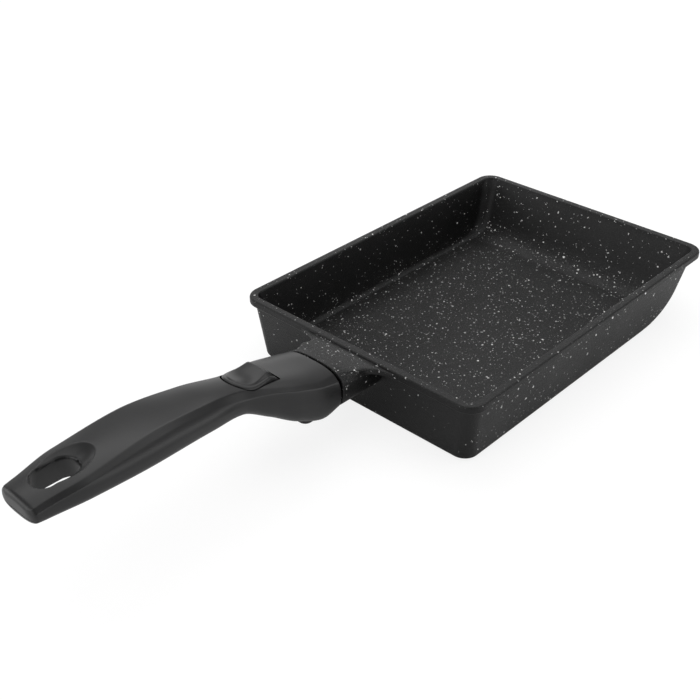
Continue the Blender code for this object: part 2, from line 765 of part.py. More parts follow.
def make_pan(pieces, cutters, coating, axis):
    """Pan, stub and flange in one casting, with the tongue that enters the handle."""
    pan = place(pan_shell(), "pan_body", pieces, coating)
    boolean(pan, place(stub_block(), "stub_block", cutters), "UNION")
    boolean(pan, place(flange(), "stub_flange", cutters), "UNION")
    half = TONGUE_WIDTH / 2
    block = box("tongue", (-TONGUE_ROOT, -half, TONGUE_BOTTOM), (TONGUE_LENGTH, half, TONGUE_TOP))
    tongue = place(block, "tongue", cutters, parent=axis)
    ease = tongue.modifiers.new("ease", "BEVEL")
    ease.width = TONGUE_EDGE
    ease.segments = 2
    boolean(pan, tongue, "UNION")
    low = (NOTCH_START, -half - OVERCUT, TONGUE_TOP - NOTCH_DEPTH)
    high = (NOTCH_START + NOTCH_LENGTH, half + OVERCUT, TONGUE_TOP + OVERCUT)
    boolean(pan, place(box("notch", low, high), "latch_notch", cutters, parent=axis))


def make_handle(pieces, cutters, moulding, axis):
    """Moulded handle with its socket, the well of the button and the hanging slot."""
    handle = place(handle_mesh(), "handle_body", pieces, moulding)
    front = SEAM_X - PAD_START
    outline = rounded_rectangle(front - PAD_LENGTH, front, PAD_HALF_WIDTH, PAD_CORNER)
    pad = plate("pad", outline, PAD_HEIGHT)
    pad.transform(Matrix.Translation((0.0, 0.0, PAD_LEVEL + PAD_HEIGHT / 2)))
    boolean(handle, place(pad, "screw_pad", cutters), "UNION")

    low = (-2 * OVERCUT, -SOCKET_HALF, FRAME_FLOOR_BOTTOM - SOCKET_GAP)
    lower_end = TONGUE_LENGTH + FRAME_START + 2 * SOCKET_GAP
    socket = box("socket", low, (lower_end, SOCKET_HALF, TONGUE_TOP + SOCKET_HEADROOM))
    boolean(handle, place(socket, "socket", cutters, parent=axis))
    side = SOCKET_HALF - HAIR
    low = (-OVERCUT, -side, TONGUE_TOP - FRAME_STEP - SOCKET_GAP)
    high = (PIN_DISTANCE + FRAME_EAR + SOCKET_GAP, side, PIN_LEVEL + FRAME_EAR + SOCKET_GAP)
    boolean(handle, place(box("channel", low, high), "latch_channel", cutters, parent=axis))

    well_floor = button_underside(BUTTON_FRONT) - WELL_DEPTH_GAP
    height = 2 * BUTTON_LENGTH
    well = plate("well", button_outline(BUTTON_SIDE_GAP, BUTTON_REAR_GAP), height)
    well.transform(Matrix.Translation((0.0, 0.0, well_floor + height / 2)))
    boolean(handle, place(well, "button_well", cutters))
    half = LEVER_WIDTH / 2 + POCKET_SIDE_GAP
    rear = PIN_POINT.x - LEVER_REAR_REACH - POCKET_REAR_GAP
    floor = ARM_UNDERSIDE - LEVER_REAR_REACH * math.sin(PRESS_ANGLE) - POCKET_FLOOR_GAP
    arm = box("arm", (rear, -half, floor), (PIN_POINT.x, half, well_floor + CLEARANCE))
    boolean(handle, place(arm, "arm_pocket", cutters))
    bore = SPRING_RADIUS + SPRING_WIRE + SPRING_SEAT_GAP
    foot = SPRING_FOOT - CLEARANCE
    seat = cylinder("seat", bore, foot, PIN_POINT.z, middle=(SPRING_X, 0.0))
    boolean(handle, place(seat, "spring_seat", cutters))

    cut_slot(handle, cutters)

    seat_level = screw_seat_level()
    middle = (SCREW_DISTANCE, 0.0)
    below = seat_level - HANDLE_LENGTH / 4
    head = cylinder("head_bore", WASHER_RADIUS + CLEARANCE, below, seat_level, middle=middle)
    boolean(handle, place(head, "head_bore", cutters, parent=axis))
    low = seat_level - OVERCUT
    shank = cylinder("shank_bore", SCREW_RADIUS + CLEARANCE, low, TONGUE_BOTTOM, middle=middle)
    boolean(handle, place(shank, "shank_bore", cutters, parent=axis))


def cut_slot(handle, cutters):
    """Hanging slot through the tail, in a shallow dish of the crown."""
    deep = 2 * TAIL_STATION[3]
    rings = []
    for level, grow in ((-deep, 4 * SLOT_WIDENING), (deep, -4 * SLOT_WIDENING)):
        outline = stadium(SLOT_LENGTH + grow, SLOT_WIDTH + grow)
        rings.append([(x, y, level) for x, y in outline])
    slot = place(loft("slot", rings), "hanging_slot", cutters)
    slot_x = SEAM_X - SLOT_MIDDLE
    slot.location = (slot_x, 0.0, crown_level(slot_x))
    boolean(handle, slot)

    half_chord = DISH_WIDTH / 2
    radius = (half_chord * half_chord + DISH_DEPTH * DISH_DEPTH) / (2 * DISH_DEPTH)
    stretch = DISH_LENGTH / DISH_WIDTH
    work = bmesh.new()
    bmesh.ops.create_uvsphere(work, u_segments=28, v_segments=16, radius=1.0)
    shape = Matrix.Diagonal((radius * stretch, radius, radius, 1.0))
    bmesh.ops.transform(work, matrix=shape, verts=work.verts)
    mesh = bpy.data.meshes.new("dish")
    work.to_mesh(mesh)
    work.free()
    dish = place(mesh, "slot_dish", cutters)
    dish_x = slot_x + DISH_LEAD
    dish.location = (dish_x, 0.0, crown_level(dish_x) - DISH_DEPTH + radius)
    boolean(handle, dish)


def screw_seat_level():
    """Level above the socket axis of the step that the washer bears on."""
    return FRAME_FLOOR_BOTTOM - SOCKET_GAP - SCREW_SEAT


def folded_channel(name, half, floor, top, start, end):
    """Open sheet folded to a channel along X; Solidify gives it its thickness."""
    section = [(-half, top), (-half, floor), (half, floor), (half, top)]
    points = [(x, y, z) for x in (start, end) for y, z in section]
    faces = [(i, i + 1, i + 5, i + 4) for i in range(3)]
    mesh = bpy.data.meshes.new(name)
    mesh.from_pydata(points, [], faces)
    return mesh


def make_frame(pieces, cutters, steel, axis):
    """Folded steel frame: a floor under the tongue and two sides with ears for the pin."""
    end = TONGUE_LENGTH + FRAME_START
    middle = FRAME_INNER + SHEET / 2
    top = PIN_LEVEL + FRAME_EAR + OVERCUT
    rear = PIN_DISTANCE + FRAME_EAR + OVERCUT
    sheet_floor = FRAME_FLOOR_TOP - SHEET / 2
    folded = folded_channel("socket_frame", middle, sheet_floor, top, -OVERCUT, rear)
    frame = place(folded, "socket_frame", pieces, steel, axis)
    sheet = frame.modifiers.new("sheet", "SOLIDIFY")
    sheet.thickness = SHEET
    sheet.offset = 0.0
    sheet.use_even_offset = True
    below = FRAME_FLOOR_BOTTOM - OVERCUT
    rise = TONGUE_TOP + FRAME_SIDE_RISE
    outline = [(end, below), (FRAME_START, below), (FRAME_START, rise), (FRAME_SHOULDER, rise)]
    for k in range(9):
        angle = math.radians(130 - 215 * k / 8)
        x = PIN_DISTANCE + FRAME_EAR * math.cos(angle)
        outline.append((x, PIN_LEVEL + FRAME_EAR * math.sin(angle)))
    outline.append((end, TONGUE_TOP - FRAME_STEP))
    side = upright(plate("frame_outline", outline, 2 * (FRAME_OUTER + OVERCUT)))
    boolean(frame, place(side, "frame_outline", cutters, parent=axis), "INTERSECT")
    reach = FRAME_OUTER + OVERCUT
    bore = PIN_RADIUS + CLEARANCE
    pin_bore = cylinder("pin_bore", bore, -reach, reach, "Y", 24, (PIN_DISTANCE, PIN_LEVEL))
    boolean(frame, place(pin_bore, "frame_pin_bore", cutters, parent=axis))
    low, high = FRAME_FLOOR_BOTTOM - OVERCUT, FRAME_FLOOR_TOP + OVERCUT
    thread = cylinder("thread", SCREW_RADIUS + CLEARANCE, low, high, middle=(SCREW_DISTANCE, 0.0))
    boolean(frame, place(thread, "frame_thread", cutters, parent=axis))


def make_screw(pieces, cutters, steel, axis):
    """Screw and washer from the underside of the collar into the frame's floor."""
    middle = (SCREW_DISTANCE, 0.0)
    washer_top = screw_seat_level() - CLEARANCE
    washer_foot = washer_top - WASHER_THICKNESS
    disc = cylinder("screw_washer", WASHER_RADIUS, washer_foot, washer_top, middle=middle)
    washer = place(disc, "screw_washer", pieces, steel, axis)
    low, high = washer_foot - OVERCUT, washer_top + OVERCUT
    hole = cylinder("washer_hole", SCREW_RADIUS + CLEARANCE, low, high, middle=middle)
    boolean(washer, place(hole, "washer_hole", cutters, parent=axis))
    head_top = washer_foot - CLEARANCE
    head_foot = head_top - HEAD_HEIGHT
    end = FRAME_FLOOR_TOP
    profile = [
        (0.0, end),
        (SCREW_RADIUS - SCREW_TIP, end),
        (SCREW_RADIUS, end - SCREW_TIP),
        (SCREW_RADIUS, head_top),
        (HEAD_RADIUS, head_top),
        (HEAD_RADIUS, head_top - 0.55 * HEAD_HEIGHT),
        (HEAD_RADIUS * 0.8, head_top - 0.88 * HEAD_HEIGHT),
        (HEAD_RADIUS * 0.4, head_foot),
        (0.0, head_foot),
    ]
    screw = place(turned("frame_screw", profile), "frame_screw", pieces, steel, axis)
    screw.location = (SCREW_DISTANCE, 0.0, 0.0)
    screw_modifier(screw)
    long, short = RECESS_LENGTH / 2, RECESS_WIDTH / 2
    low, high = head_foot - OVERCUT, head_foot + RECESS_DEPTH
    for name, along, across in (("recess_a", long, short), ("recess_b", short, long)):
        shape = box(name, (-along, -across, low), (along, across, high))
        cut = place(shape, name, cutters, parent=axis)
        cut.location = (SCREW_DISTANCE, 0.0, 0.0)
        boolean(screw, cut)


def make_latch(pieces, cutters, steel, moulding, latch):
    """Pin, lever with its hook, and the button cap that sits on the lever's rear arm."""
    pin = cylinder("latch_pin", PIN_RADIUS, -FRAME_OUTER, FRAME_OUTER, "Y", 24)
    place(pin, "latch_pin", pieces, steel).location = PIN_POINT

    hook_distance = NOTCH_START + NOTCH_LENGTH - SLIDE_GAP - HOOK_THICKNESS / 2
    hook_level = TONGUE_TOP + LEVER_THICKNESS / 2 + HOOK_ROOF_GAP
    root = on_axis(hook_distance, hook_level) - PIN_POINT
    tip = on_axis(hook_distance, TONGUE_TOP - NOTCH_DEPTH + HOOK_GAP) - PIN_POINT
    nose = (root.x + LEVER_NOSE, root.z - LEVER_NOSE_DROP)
    front_path = strip_outline([nose, (root.x - LEVER_KNEE, root.z), (0.0, 0.0)], LEVER_THICKNESS)
    front = upright(plate("latch_lever", front_path, LEVER_WIDTH))
    lever = place(front, "latch_lever", pieces, steel, latch)
    hook_path = strip_outline([(root.x, root.z), (tip.x, tip.z)], HOOK_THICKNESS)
    hook = upright(plate("hook", hook_path, LEVER_WIDTH - 2 * HAIR))
    boolean(lever, place(hook, "hook", cutters, parent=latch), "UNION")
    knee = (-BARREL_RADIUS, LEVER_REAR_RISE)
    tail = (-LEVER_REAR_REACH, LEVER_REAR_RISE)
    arm_path = strip_outline([(0.0, 0.0), knee, tail], LEVER_THICKNESS)
    arm = upright(plate("arm", arm_path, LEVER_WIDTH - HAIR))
    boolean(lever, place(arm, "rear_arm", cutters, parent=latch), "UNION")
    half = LEVER_WIDTH / 2 + BARREL_PROUD
    barrel = cylinder("barrel", BARREL_RADIUS, -half, half, "Y", 28)
    boolean(lever, place(barrel, "barrel", cutters, parent=latch), "UNION")
    reach = half + OVERCUT
    bore = cylinder("lever_bore", PIN_RADIUS + CLEARANCE, -reach, reach, "Y", 24)
    boolean(lever, place(bore, "lever_bore", cutters, parent=latch))

    cap = button_mesh()
    cap.transform(Matrix.Translation(-PIN_POINT))
    button = place(cap, "release_button", pieces, moulding, latch)
    low = LEVER_REAR_RISE + LEVER_THICKNESS / 2 + CLEARANCE
    high = crown_level(SPRING_X) - PIN_POINT.z - BUTTON_SKIRT + BOSS_SINK
    boss = cylinder("boss", BOSS_RADIUS, low, high, middle=(-SPRING_BACK, 0.0))
    boolean(button, place(boss, "button_boss", cutters, parent=latch), "UNION")


def make_spring(pieces, spring_steel):
    """Compression spring between the bore in the handle and the lever's rear arm."""
    per_turn = 10
    count = int(SPRING_TURNS * per_turn)
    t = np.linspace(0, 1, count + 1)
    angle = 2 * math.pi * SPRING_TURNS * t
    low, high = SPRING_FOOT + SPRING_WIRE, SPRING_TOP - SPRING_WIRE
    across = SPRING_RADIUS * np.sin(angle)
    points = np.stack([SPRING_X + SPRING_RADIUS * np.cos(angle), across, low + (high - low) * t], axis=1)
    apart = np.linalg.norm(points[:, None] - points[None, :], axis=2)
    far_along = np.abs(np.arange(count + 1)[:, None] - np.arange(count + 1)[None, :]) > per_turn // 2
    gap = apart[far_along].min() - 2 * SPRING_WIRE
    print("least gap between the spring's turns, measured on its points, mm:", round(gap * 1000, 3))
    place(tube("latch_spring", points, SPRING_WIRE), "latch_spring", pieces, spring_steel)


build()
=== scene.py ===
"""Looks of a rectangular crepe pan with a flecked coating and a moulded handle.

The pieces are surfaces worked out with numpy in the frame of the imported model: the origin is
on the flat underside below the middle of the rim, +X points away from the handle and +Z up,
in metres.
"""
import math

import bpy
import numpy as np
from bpy.props import FloatProperty, FloatVectorProperty, PointerProperty
from mathutils import Matrix, Vector


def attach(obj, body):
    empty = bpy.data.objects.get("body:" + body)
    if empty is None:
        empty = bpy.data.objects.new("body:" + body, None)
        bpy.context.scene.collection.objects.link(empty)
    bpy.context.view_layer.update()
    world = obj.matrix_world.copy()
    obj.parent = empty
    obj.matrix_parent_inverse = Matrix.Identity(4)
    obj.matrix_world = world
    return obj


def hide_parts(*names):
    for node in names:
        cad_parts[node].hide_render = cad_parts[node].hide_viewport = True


bl_info = {
    "name": "Crepe pan",
    "version": (1, 0, 0),
    "blender": (4, 5, 0),
    "location": "View3D > Sidebar > Crepe pan",
    "description": "Builds the surfaces, finishes and stage of a rectangular crepe pan",
    "category": "Object",
}

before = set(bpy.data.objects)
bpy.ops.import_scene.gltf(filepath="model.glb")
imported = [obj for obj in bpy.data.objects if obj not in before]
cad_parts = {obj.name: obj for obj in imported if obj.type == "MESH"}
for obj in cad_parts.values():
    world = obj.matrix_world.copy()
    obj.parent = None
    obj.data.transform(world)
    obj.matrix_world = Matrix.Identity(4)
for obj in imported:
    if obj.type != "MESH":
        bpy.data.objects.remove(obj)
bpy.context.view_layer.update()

# Casting of the pan
PAN_LENGTH = 0.2100
PAN_WIDTH = 0.1500
PAN_HEIGHT = 0.0362
CORNER_RADIUS = 0.0095
FAR_CORNER_RADIUS = 0.0105
FLOOR = 0.0032
SIDE_DRAFT = 0.111
FAR_DRAFT = 0.394
LIP_SOFTNESS = 0.0013
OUTER_BEAD = 0.0010
INNER_BEAD = 0.0008
BASE_RADIUS = 0.0022
FAR_BASE_RADIUS = 0.0235
INNER_RADIUS = 0.0030
FAR_INNER_RADIUS = 0.0160
INNER_CORNER_RADIUS = 0.0049
FAR_INNER_CORNER_RADIUS = 0.0068
BASE_STEP = 0.0003
BASE_STEP_MARGIN = 0.0060
# Sweep of the far wall: growth of its corner, least radius and least steepness
SWEEP_BLEND = 0.30
SWEEP_LEAST = 0.0010
SWEEP_STEEP = 0.15

# Stub and flange
STUB_LENGTH = 0.0243
STUB_HALF_WIDTH = 0.0190
STUB_TAPER = 0.0006
STUB_HEIGHT = 0.0208
STUB_DROP_AT_RIM = 0.0008
STUB_DROP_AT_SEAM = 0.0002
FLANGE_NARROWING = 0.0010
FLANGE_FLARE_LENGTH = 0.0090
FLANGE_FLARE_WIDTH = 0.0150
FLANGE_UNDERSIDE_RISE = 0.120
FLANGE_FADE = (0.0120, 0.0215)
SEAM_GAP = 0.0010
SEAM_LEAN = 0.0006
STUB_END_ROUND = 0.0006
STUB_EDGE_ROUND = 0.0004
PARTING_LEVEL = 0.36
PARTING_WIDTH = 0.0003
PARTING_DEPTH = 0.0003
SEAM_X = -PAN_LENGTH / 2 - STUB_LENGTH
SEAM_HEIGHT = 0.0316
AXIS_RISE = math.radians(14.0)

# Tongue of the casting inside the handle
TONGUE_WIDTH = 0.0120
TONGUE_THICKNESS = 0.0070
TONGUE_LENGTH = 0.0250
TONGUE_LEVEL = -0.0010
TONGUE_ROOT = 0.0060
NOTCH_START = 0.0118
NOTCH_LENGTH = 0.0040
NOTCH_DEPTH = 0.0018
TONGUE_CHAMFER = 0.0008
TONGUE_CHAMFER_LENGTH = 0.0010
TONGUE_SQUARENESS = 8.0

# Handle: distance from the seam, half width, level of the crown, thickness, squareness below
HANDLE_LENGTH = 0.1546
STATIONS = np.array((
    (0.0, 0.0188, 0.0425, 0.0211, 3.6),
    (0.0110, 0.0193, 0.0448, 0.0247, 3.8),
    (0.0230, 0.0179, 0.0479, 0.0234, 3.2),
    (0.0360, 0.0141, 0.0517, 0.0193, 2.7),
    (0.0505, 0.0110, 0.0556, 0.0153, 2.5),
    (0.0705, 0.0140, 0.0597, 0.0154, 3.1),
    (0.0980, 0.0162, 0.0621, 0.0160, 3.1),
    (0.1300, 0.0148, 0.0606, 0.0140, 2.9),
    (0.1480, 0.0120, 0.0582, 0.0114, 2.7),
    (HANDLE_LENGTH, 0.0114, 0.0570, 0.0092, 2.8),
))
# At the same distances: half width and drop of the crown's shoulder, power of the crown's dome,
# and half width and drop of the ridge where the bevel meets the side
RIDGES = np.array((
    (0.0140, 0.0020, 3.0, 0.0172, 0.0046),
    (0.0154, 0.0023, 3.6, 0.0179, 0.0041),
    (0.0144, 0.0019, 3.7, 0.0167, 0.0034),
    (0.0112, 0.0018, 3.2, 0.0133, 0.0036),
    (0.0079, 0.0014, 2.4, 0.0106, 0.0049),
    (0.0093, 0.0010, 2.2, 0.0117, 0.0032),
    (0.0110, 0.0005, 2.0, 0.0137, 0.0026),
    (0.0119, 0.0015, 2.0, 0.0140, 0.0034),
    (0.0100, 0.0013, 2.0, 0.0117, 0.0035),
    (0.0096, 0.0012, 2.0, 0.0111, 0.0030),
))
STUB_SQUARENESS = 2.8
BELLY_SQUARENESS = 0.8
END_ROUNDING = 0.0022
END_CORNER = 0.0050
MOUTH_ROUND = 0.0008
PAD_START = 0.0020
PAD_LENGTH = 0.0146
PAD_HALF_WIDTH = 0.0115
PAD_CORNER = 0.0035
PAD_LEVEL = 0.0192
PAD_HEIGHT = 0.0060

# Hanging slot
SLOT_WIDENING = 0.0009
SLOT_MIDDLE = 0.1368
SLOT_ROUND = 0.0006
SLOT_STATION = 7
SLOT_FOOT_LENGTH = 0.0252
SLOT_FOOT_LEAD = 0.0008
DISH_LENGTH = 0.0268
DISH_WIDTH = 0.0190
DISH_LEAD = 0.0024
DISH_EDGE = 0.0002

# Socket and latch
SHEET = 0.0012
SLIDE_GAP = 0.00035
FRAME_START = 0.0008
FRAME_EAR = 0.0024
FRAME_STEP = 0.0008
SOCKET_GAP = 0.0003
SOCKET_HEADROOM = 0.0015
PIN_DISTANCE = 0.0300
PIN_LEVEL = 0.0059
BARREL_RADIUS = 0.0022
LEVER_WIDTH = 0.0104
LEVER_THICKNESS = 0.0016
LEVER_REAR_REACH = 0.0150
LEVER_REAR_RISE = 0.0012
PRESS_ANGLE = math.radians(6.0)
POCKET_SIDE_GAP = 0.0006
POCKET_REAR_GAP = 0.0008
POCKET_FLOOR_GAP = 0.0007
SPRING_RADIUS = 0.0024
SPRING_WIRE = 0.0003
SPRING_BACK = 0.0120
SPRING_LENGTH = 0.0062
SPRING_SEAT_GAP = 0.0005
SCREW_DISTANCE = 0.0068
SCREW_RADIUS = 0.0020
WASHER_RADIUS = 0.0041
SCREW_SEAT = 0.0040
CLEARANCE = 0.0003

# Button
BUTTON_LENGTH = 0.0235
BUTTON_HALF_WIDTH = 0.0090
BUTTON_FRONT_HALF = 0.0074
BUTTON_BEND = 0.58
BUTTON_ROUNDNESS = 0.85
BUTTON_LIP_PLACE = 0.27
BUTTON_RAMP_BEND = 1.4
BUTTON_FALL_BEND = 2.4
BUTTON_LIP_FALL = 0.20
BUTTON_DISH_DEPTH = 0.0006
BUTTON_REAR_HEIGHT = 0.0010
BUTTON_SKIRT = 0.0030
BUTTON_LEDGE = 0.55
BUTTON_LEDGE_WIDTH = (0.14, 0.24)
BUTTON_EDGE = 0.0009
BUTTON_LIP_BLEND = 0.0003
BUTTON_SIDE_GAP = 0.0005
BUTTON_REAR_GAP = 0.0014
BUTTON_MOUTH_GAP = 0.0008
WELL_DEPTH_GAP = 0.0009
BOSS_RADIUS = 0.0030
BOSS_SINK = 0.0012

# Flecks: spacing of the cells, largest radius and share of the cells with a fleck; their least
# radius and least brightness as shares of the most; their soft edge; and the noises that make
# them ragged, with scale and reach
FLECK_LAYERS = (
    (0.0044, 0.00070, 0.46),
    (0.0023, 0.00050, 0.52),
    (0.0017, 0.00038, 0.42),
    (0.0011, 0.00024, 0.30),
)
FLECK_LEAST_RADIUS = 0.35
FLECK_LEAST_LIGHT = 0.40
FLECK_SOFTNESS = 0.00008
FLECK_PULLS = ((700.0, 0.0016), (2400.0, 0.0007))
# How thickly they lie outside, beside the stub, on the rim and on the tongue, next to 1 on the
# floor, and what the inner walls lack, with what the far one gets back
FLECKS_OUTSIDE = 0.46
# The few flecks beside the stub are painted shade: they darken the outer wall at the handle, where
# the stub and the handle shade it
PAINTED_SHADE_FLECKS_BESIDE_STUB = 0.12
FLECKS_ON_RIM = 0.50
FLECKS_ON_TONGUE = 0.20
WALL_LOSS = 0.64
FAR_WALL_GAIN = 0.10
# On the stub: the amount on its sides, what its top has more, and the levels between them
FLECKS_ON_STUB = 0.50
STUB_TOP_GAIN = 0.60
STUB_TOP_BAND = (0.0330, 0.0365)
# Bands in which the amount passes from the floor to the walls and to the far wall, in radii of
# the foot and in lengths of the pan, and the part of the bead that counts as the rim
WALL_BAND = (1.0, 4.0)
FAR_WALL_BAND = (0.3, 0.4)
RIM_PART = 0.6
# Fine grain of the coating, the level above which it shows as dust, how light that is, and the
# slow change of its gloss
GRAIN_SCALE = 1500.0
GRAIN_FLOOR = 0.50
GRAIN_LIGHT = 0.20
CLOUD_SCALE = 45.0

# Nodes that keep their solids and are plated steel
STEEL_NODES = ("socket_frame", "frame_screw", "screw_washer", "latch_pin", "latch_lever")
# Moulding and steel: scale of the fine pattern, of the broad one, and gain and start of the light
MOULDING_GRAIN_SCALE = 5200.0
MOULDING_CLOUD_SCALE = 60.0
MOULDING_LIGHT = (0.16, 0.92)
STEEL_STREAK_SCALE = 900.0
STEEL_LIGHT = (0.24, 0.86)
# How far a pattern from 0 to 1 changes the roughness, and where that starts
COATING_UNEVEN = (0.16, -0.12)
MOULDING_UNEVEN = (0.06, -0.03)
STEEL_UNEVEN = (0.16, -0.08)
# Strength and depth of the bumps
COATING_BUMP = (0.80, 0.00025)
MOULDING_BUMP = (0.12, 0.00002)
STEEL_BUMP = (0.15, 0.00003)
# Refractive indices of the finishes
COATING_IOR = 1.345
MOULDING_IOR = 1.43
STEEL_IOR = 1.45

# Stage: the camera's sensor in mm and how near and far it sees; brightness of the floor, how
# far that stands in for its own shading in straight sight and in gloss, its size, and how far
# it lies below the pan; soft boxes with their heading, height, width and tallness in degrees
# as the pan sees them, and their radiance
SENSOR_WIDTH = 36.0
CAMERA_REACH = (0.01, 50.0)
FLOOR_WHITE = 1.10
FLOOR_GLOW_SHARE = 0.75
FLOOR_GLOSS_SHARE = 0.10
FLOOR_REACH = 6.0
FLOOR_SINK = 0.0002
LAMP_DISTANCE = 2.0
LAMP_AIM = (-0.05, 0.0, 0.02)
WATTS_A_SQUARE_METRE = math.pi
SOFT_BOXES = (
    ("left_box", 150.0, 12.0, 76.0, 22.0, 2.2),
    ("left_upper_box", 180.0, 33.0, 40.0, 22.0, 1.9),
    ("right_box", 292.0, 11.0, 80.0, 22.0, 1.9),
    ("far_low_box", 62.0, 11.0, 80.0, 22.0, 0.9),
    ("far_box", 60.0, 55.0, 60.0, 22.0, 2.3),
    ("near_box", 330.0, 55.0, 66.0, 22.0, 1.35),
    ("top_box", 0.0, 90.0, 46.0, 46.0, 1.3),
)

# Fewest faces that a handle with its cuts can have
LEAST_HANDLE_FACES = 20000
# Angles in degrees past which an edge is sharp
SHARP_ANGLE = 50.0
HANDLE_SHARP_ANGLE = 34.0
TONGUE_SHARP_ANGLE = 30.0
# Steps and smoothing passes of the surfaces
CORNER_STEPS = 24
SIDE_STEPS = 16
FILLET_STEPS = 16
DOME_STEPS = 36
BEVEL_STEPS = 14
BELLY_STEPS = 56
EDGE_PASSES = 2
MOUTH_STEPS = 8
MOUTH_LEAST_TURN = 8.0
END_STEPS = 8
CLOSING_SHARES = (0.8, 0.6, 0.4, 0.2)
STUB_STEPS = 90
STUB_ROUND_STEPS = 6
STUB_LOWER_STEPS = 26
STUB_FLANGE_STEPS = 14
STUB_TOP_STEPS = 30
STUB_EDGE_PASSES = 4
STUB_TURN_LIMIT = 0.9
TONGUE_STEPS = 64
BUTTON_EDGE_STEPS = 7
BUTTON_TOP_STEPS = 44
BUTTON_TOP_SHRINK = 0.985
BUTTON_UNDERSIDE_SHRINKS = (0.97, 0.5, 0.03)
PARTING_STEPS = 14
# How far the cutters reach past what they cut
OVERCUT = 0.0020
# Steps along the handle: closer together at the button and at the slot
COARSE_STEP = 0.0011
FINE_STRETCHES = ((0.022, 0.056, 0.0005), (0.104, 0.1524, 0.00042))
# Signs of a rectangle's corners in X and Y, and the quarter turn at which each one starts
QUARTERS = ((1, 1, 0), (-1, 1, 1), (-1, -1, 2), (1, -1, 3))

# Socket axis and the latch's axis in the frame
AXIS = np.array((-math.cos(AXIS_RISE), 0.0, math.sin(AXIS_RISE)))
UPWARD = np.array((math.sin(AXIS_RISE), 0.0, math.cos(AXIS_RISE)))
AXIS_START = np.array((SEAM_X, 0.0, SEAM_HEIGHT))
PIN_POINT = AXIS_START + AXIS * PIN_DISTANCE + UPWARD * PIN_LEVEL
TONGUE_TOP = TONGUE_LEVEL + TONGUE_THICKNESS / 2
TONGUE_BOTTOM = TONGUE_LEVEL - TONGUE_THICKNESS / 2
FRAME_FLOOR = TONGUE_BOTTOM - SLIDE_GAP - SHEET
SOCKET_HALF = TONGUE_WIDTH / 2 + SLIDE_GAP + SHEET + SOCKET_GAP
BUTTON_FRONT = PIN_POINT[0]
BUTTON_REAR = BUTTON_FRONT - BUTTON_LENGTH
ARM_UNDERSIDE = PIN_POINT[2] + LEVER_REAR_RISE - LEVER_THICKNESS / 2
SPRING_FOOT = ARM_UNDERSIDE - CLEARANCE - SPRING_LENGTH
SCREW_STEP = FRAME_FLOOR - SOCKET_GAP - SCREW_SEAT


def mesh_of(name, points, faces):
    """Mesh from an array of points and lists of faces, turned so that its volume is positive."""
    triangles = np.concatenate([
        np.concatenate([block[:, (0, k, k + 1)] for k in range(1, block.shape[1] - 1)])
        for block in faces
    ])
    a, b, c = (points[triangles[:, k]] for k in range(3))
    if np.einsum("ij,ij->i", a, np.cross(b, c)).sum() < 0:
        faces = [block[:, ::-1] for block in faces]
    mesh = bpy.data.meshes.new(name)
    mesh.from_pydata(points.tolist(), [], [face for block in faces for face in block.tolist()])
    return mesh


def skin(name, rings):
    """Closed surface through rings of points, an array of (ring, point, 3).

    Ring i is joined to ring i + 1 by quads, round and round, and the first and the last ring
    are closed by fans to their middles.
    """
    count, around = rings.shape[:2]
    index = np.arange(count * around).reshape(count, around)
    after = np.roll(index, -1, axis=1)
    quads = np.stack([index[:-1], after[:-1], after[1:], index[1:]], -1).reshape(-1, 4)
    first, last = count * around, count * around + 1
    low = np.stack([after[0], index[0], np.full(around, first)], -1)
    high = np.stack([index[-1], after[-1], np.full(around, last)], -1)
    ends = np.stack([rings[0].mean(0), rings[-1].mean(0)])
    points = np.concatenate([rings.reshape(-1, 3), ends])
    return mesh_of(name, points, [quads, low, high])


def piece(name, mesh, body, node, slot, finish, angle):
    """Object with the mesh, at the origin, which rides on a body and stands for a node."""
    mesh.shade_smooth()
    mesh.set_sharp_from_angle(angle=math.radians(angle))
    mesh.materials.clear()
    mesh.materials.append(finish)
    thing = bpy.data.objects.new(name, mesh)
    bpy.context.scene.collection.objects.link(thing)
    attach(thing, body)
    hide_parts(node)


def cut(mesh, cutters, operation="DIFFERENCE"):
    """New mesh: the first one less the cutters, or joined with them, by exact Booleans."""
    target = bpy.data.objects.new("target", mesh)
    bpy.context.scene.collection.objects.link(target)
    tools = []
    for k, cutter in enumerate(cutters):
        tool = bpy.data.objects.new(f"tool_{k}", cutter)
        bpy.context.scene.collection.objects.link(tool)
        step = target.modifiers.new(tool.name, "BOOLEAN")
        step.operation = operation
        step.solver = "EXACT"
        step.object = tool
        tools.append(tool)
    bpy.context.view_layer.update()
    graph = bpy.context.evaluated_depsgraph_get()
    made = bpy.data.meshes.new_from_object(target.evaluated_get(graph))
    for thing in [target, *tools]:
        bpy.data.objects.remove(thing)
    return made


def smoothstep(low, high, x):
    """3t^2 - 2t^3 with t running from 0 at low to 1 at high."""
    t = np.clip((x - low) / (high - low), 0.0, 1.0)
    return t * t * (3 - 2 * t)


def soft_min(a, b, width):
    """The lower of two heights, rounded where they cross: min - (width - |a - b|)^2 / 4 width."""
    near = np.maximum(width - np.abs(a - b), 0.0)
    return np.minimum(a, b) - near * near / (4 * width)


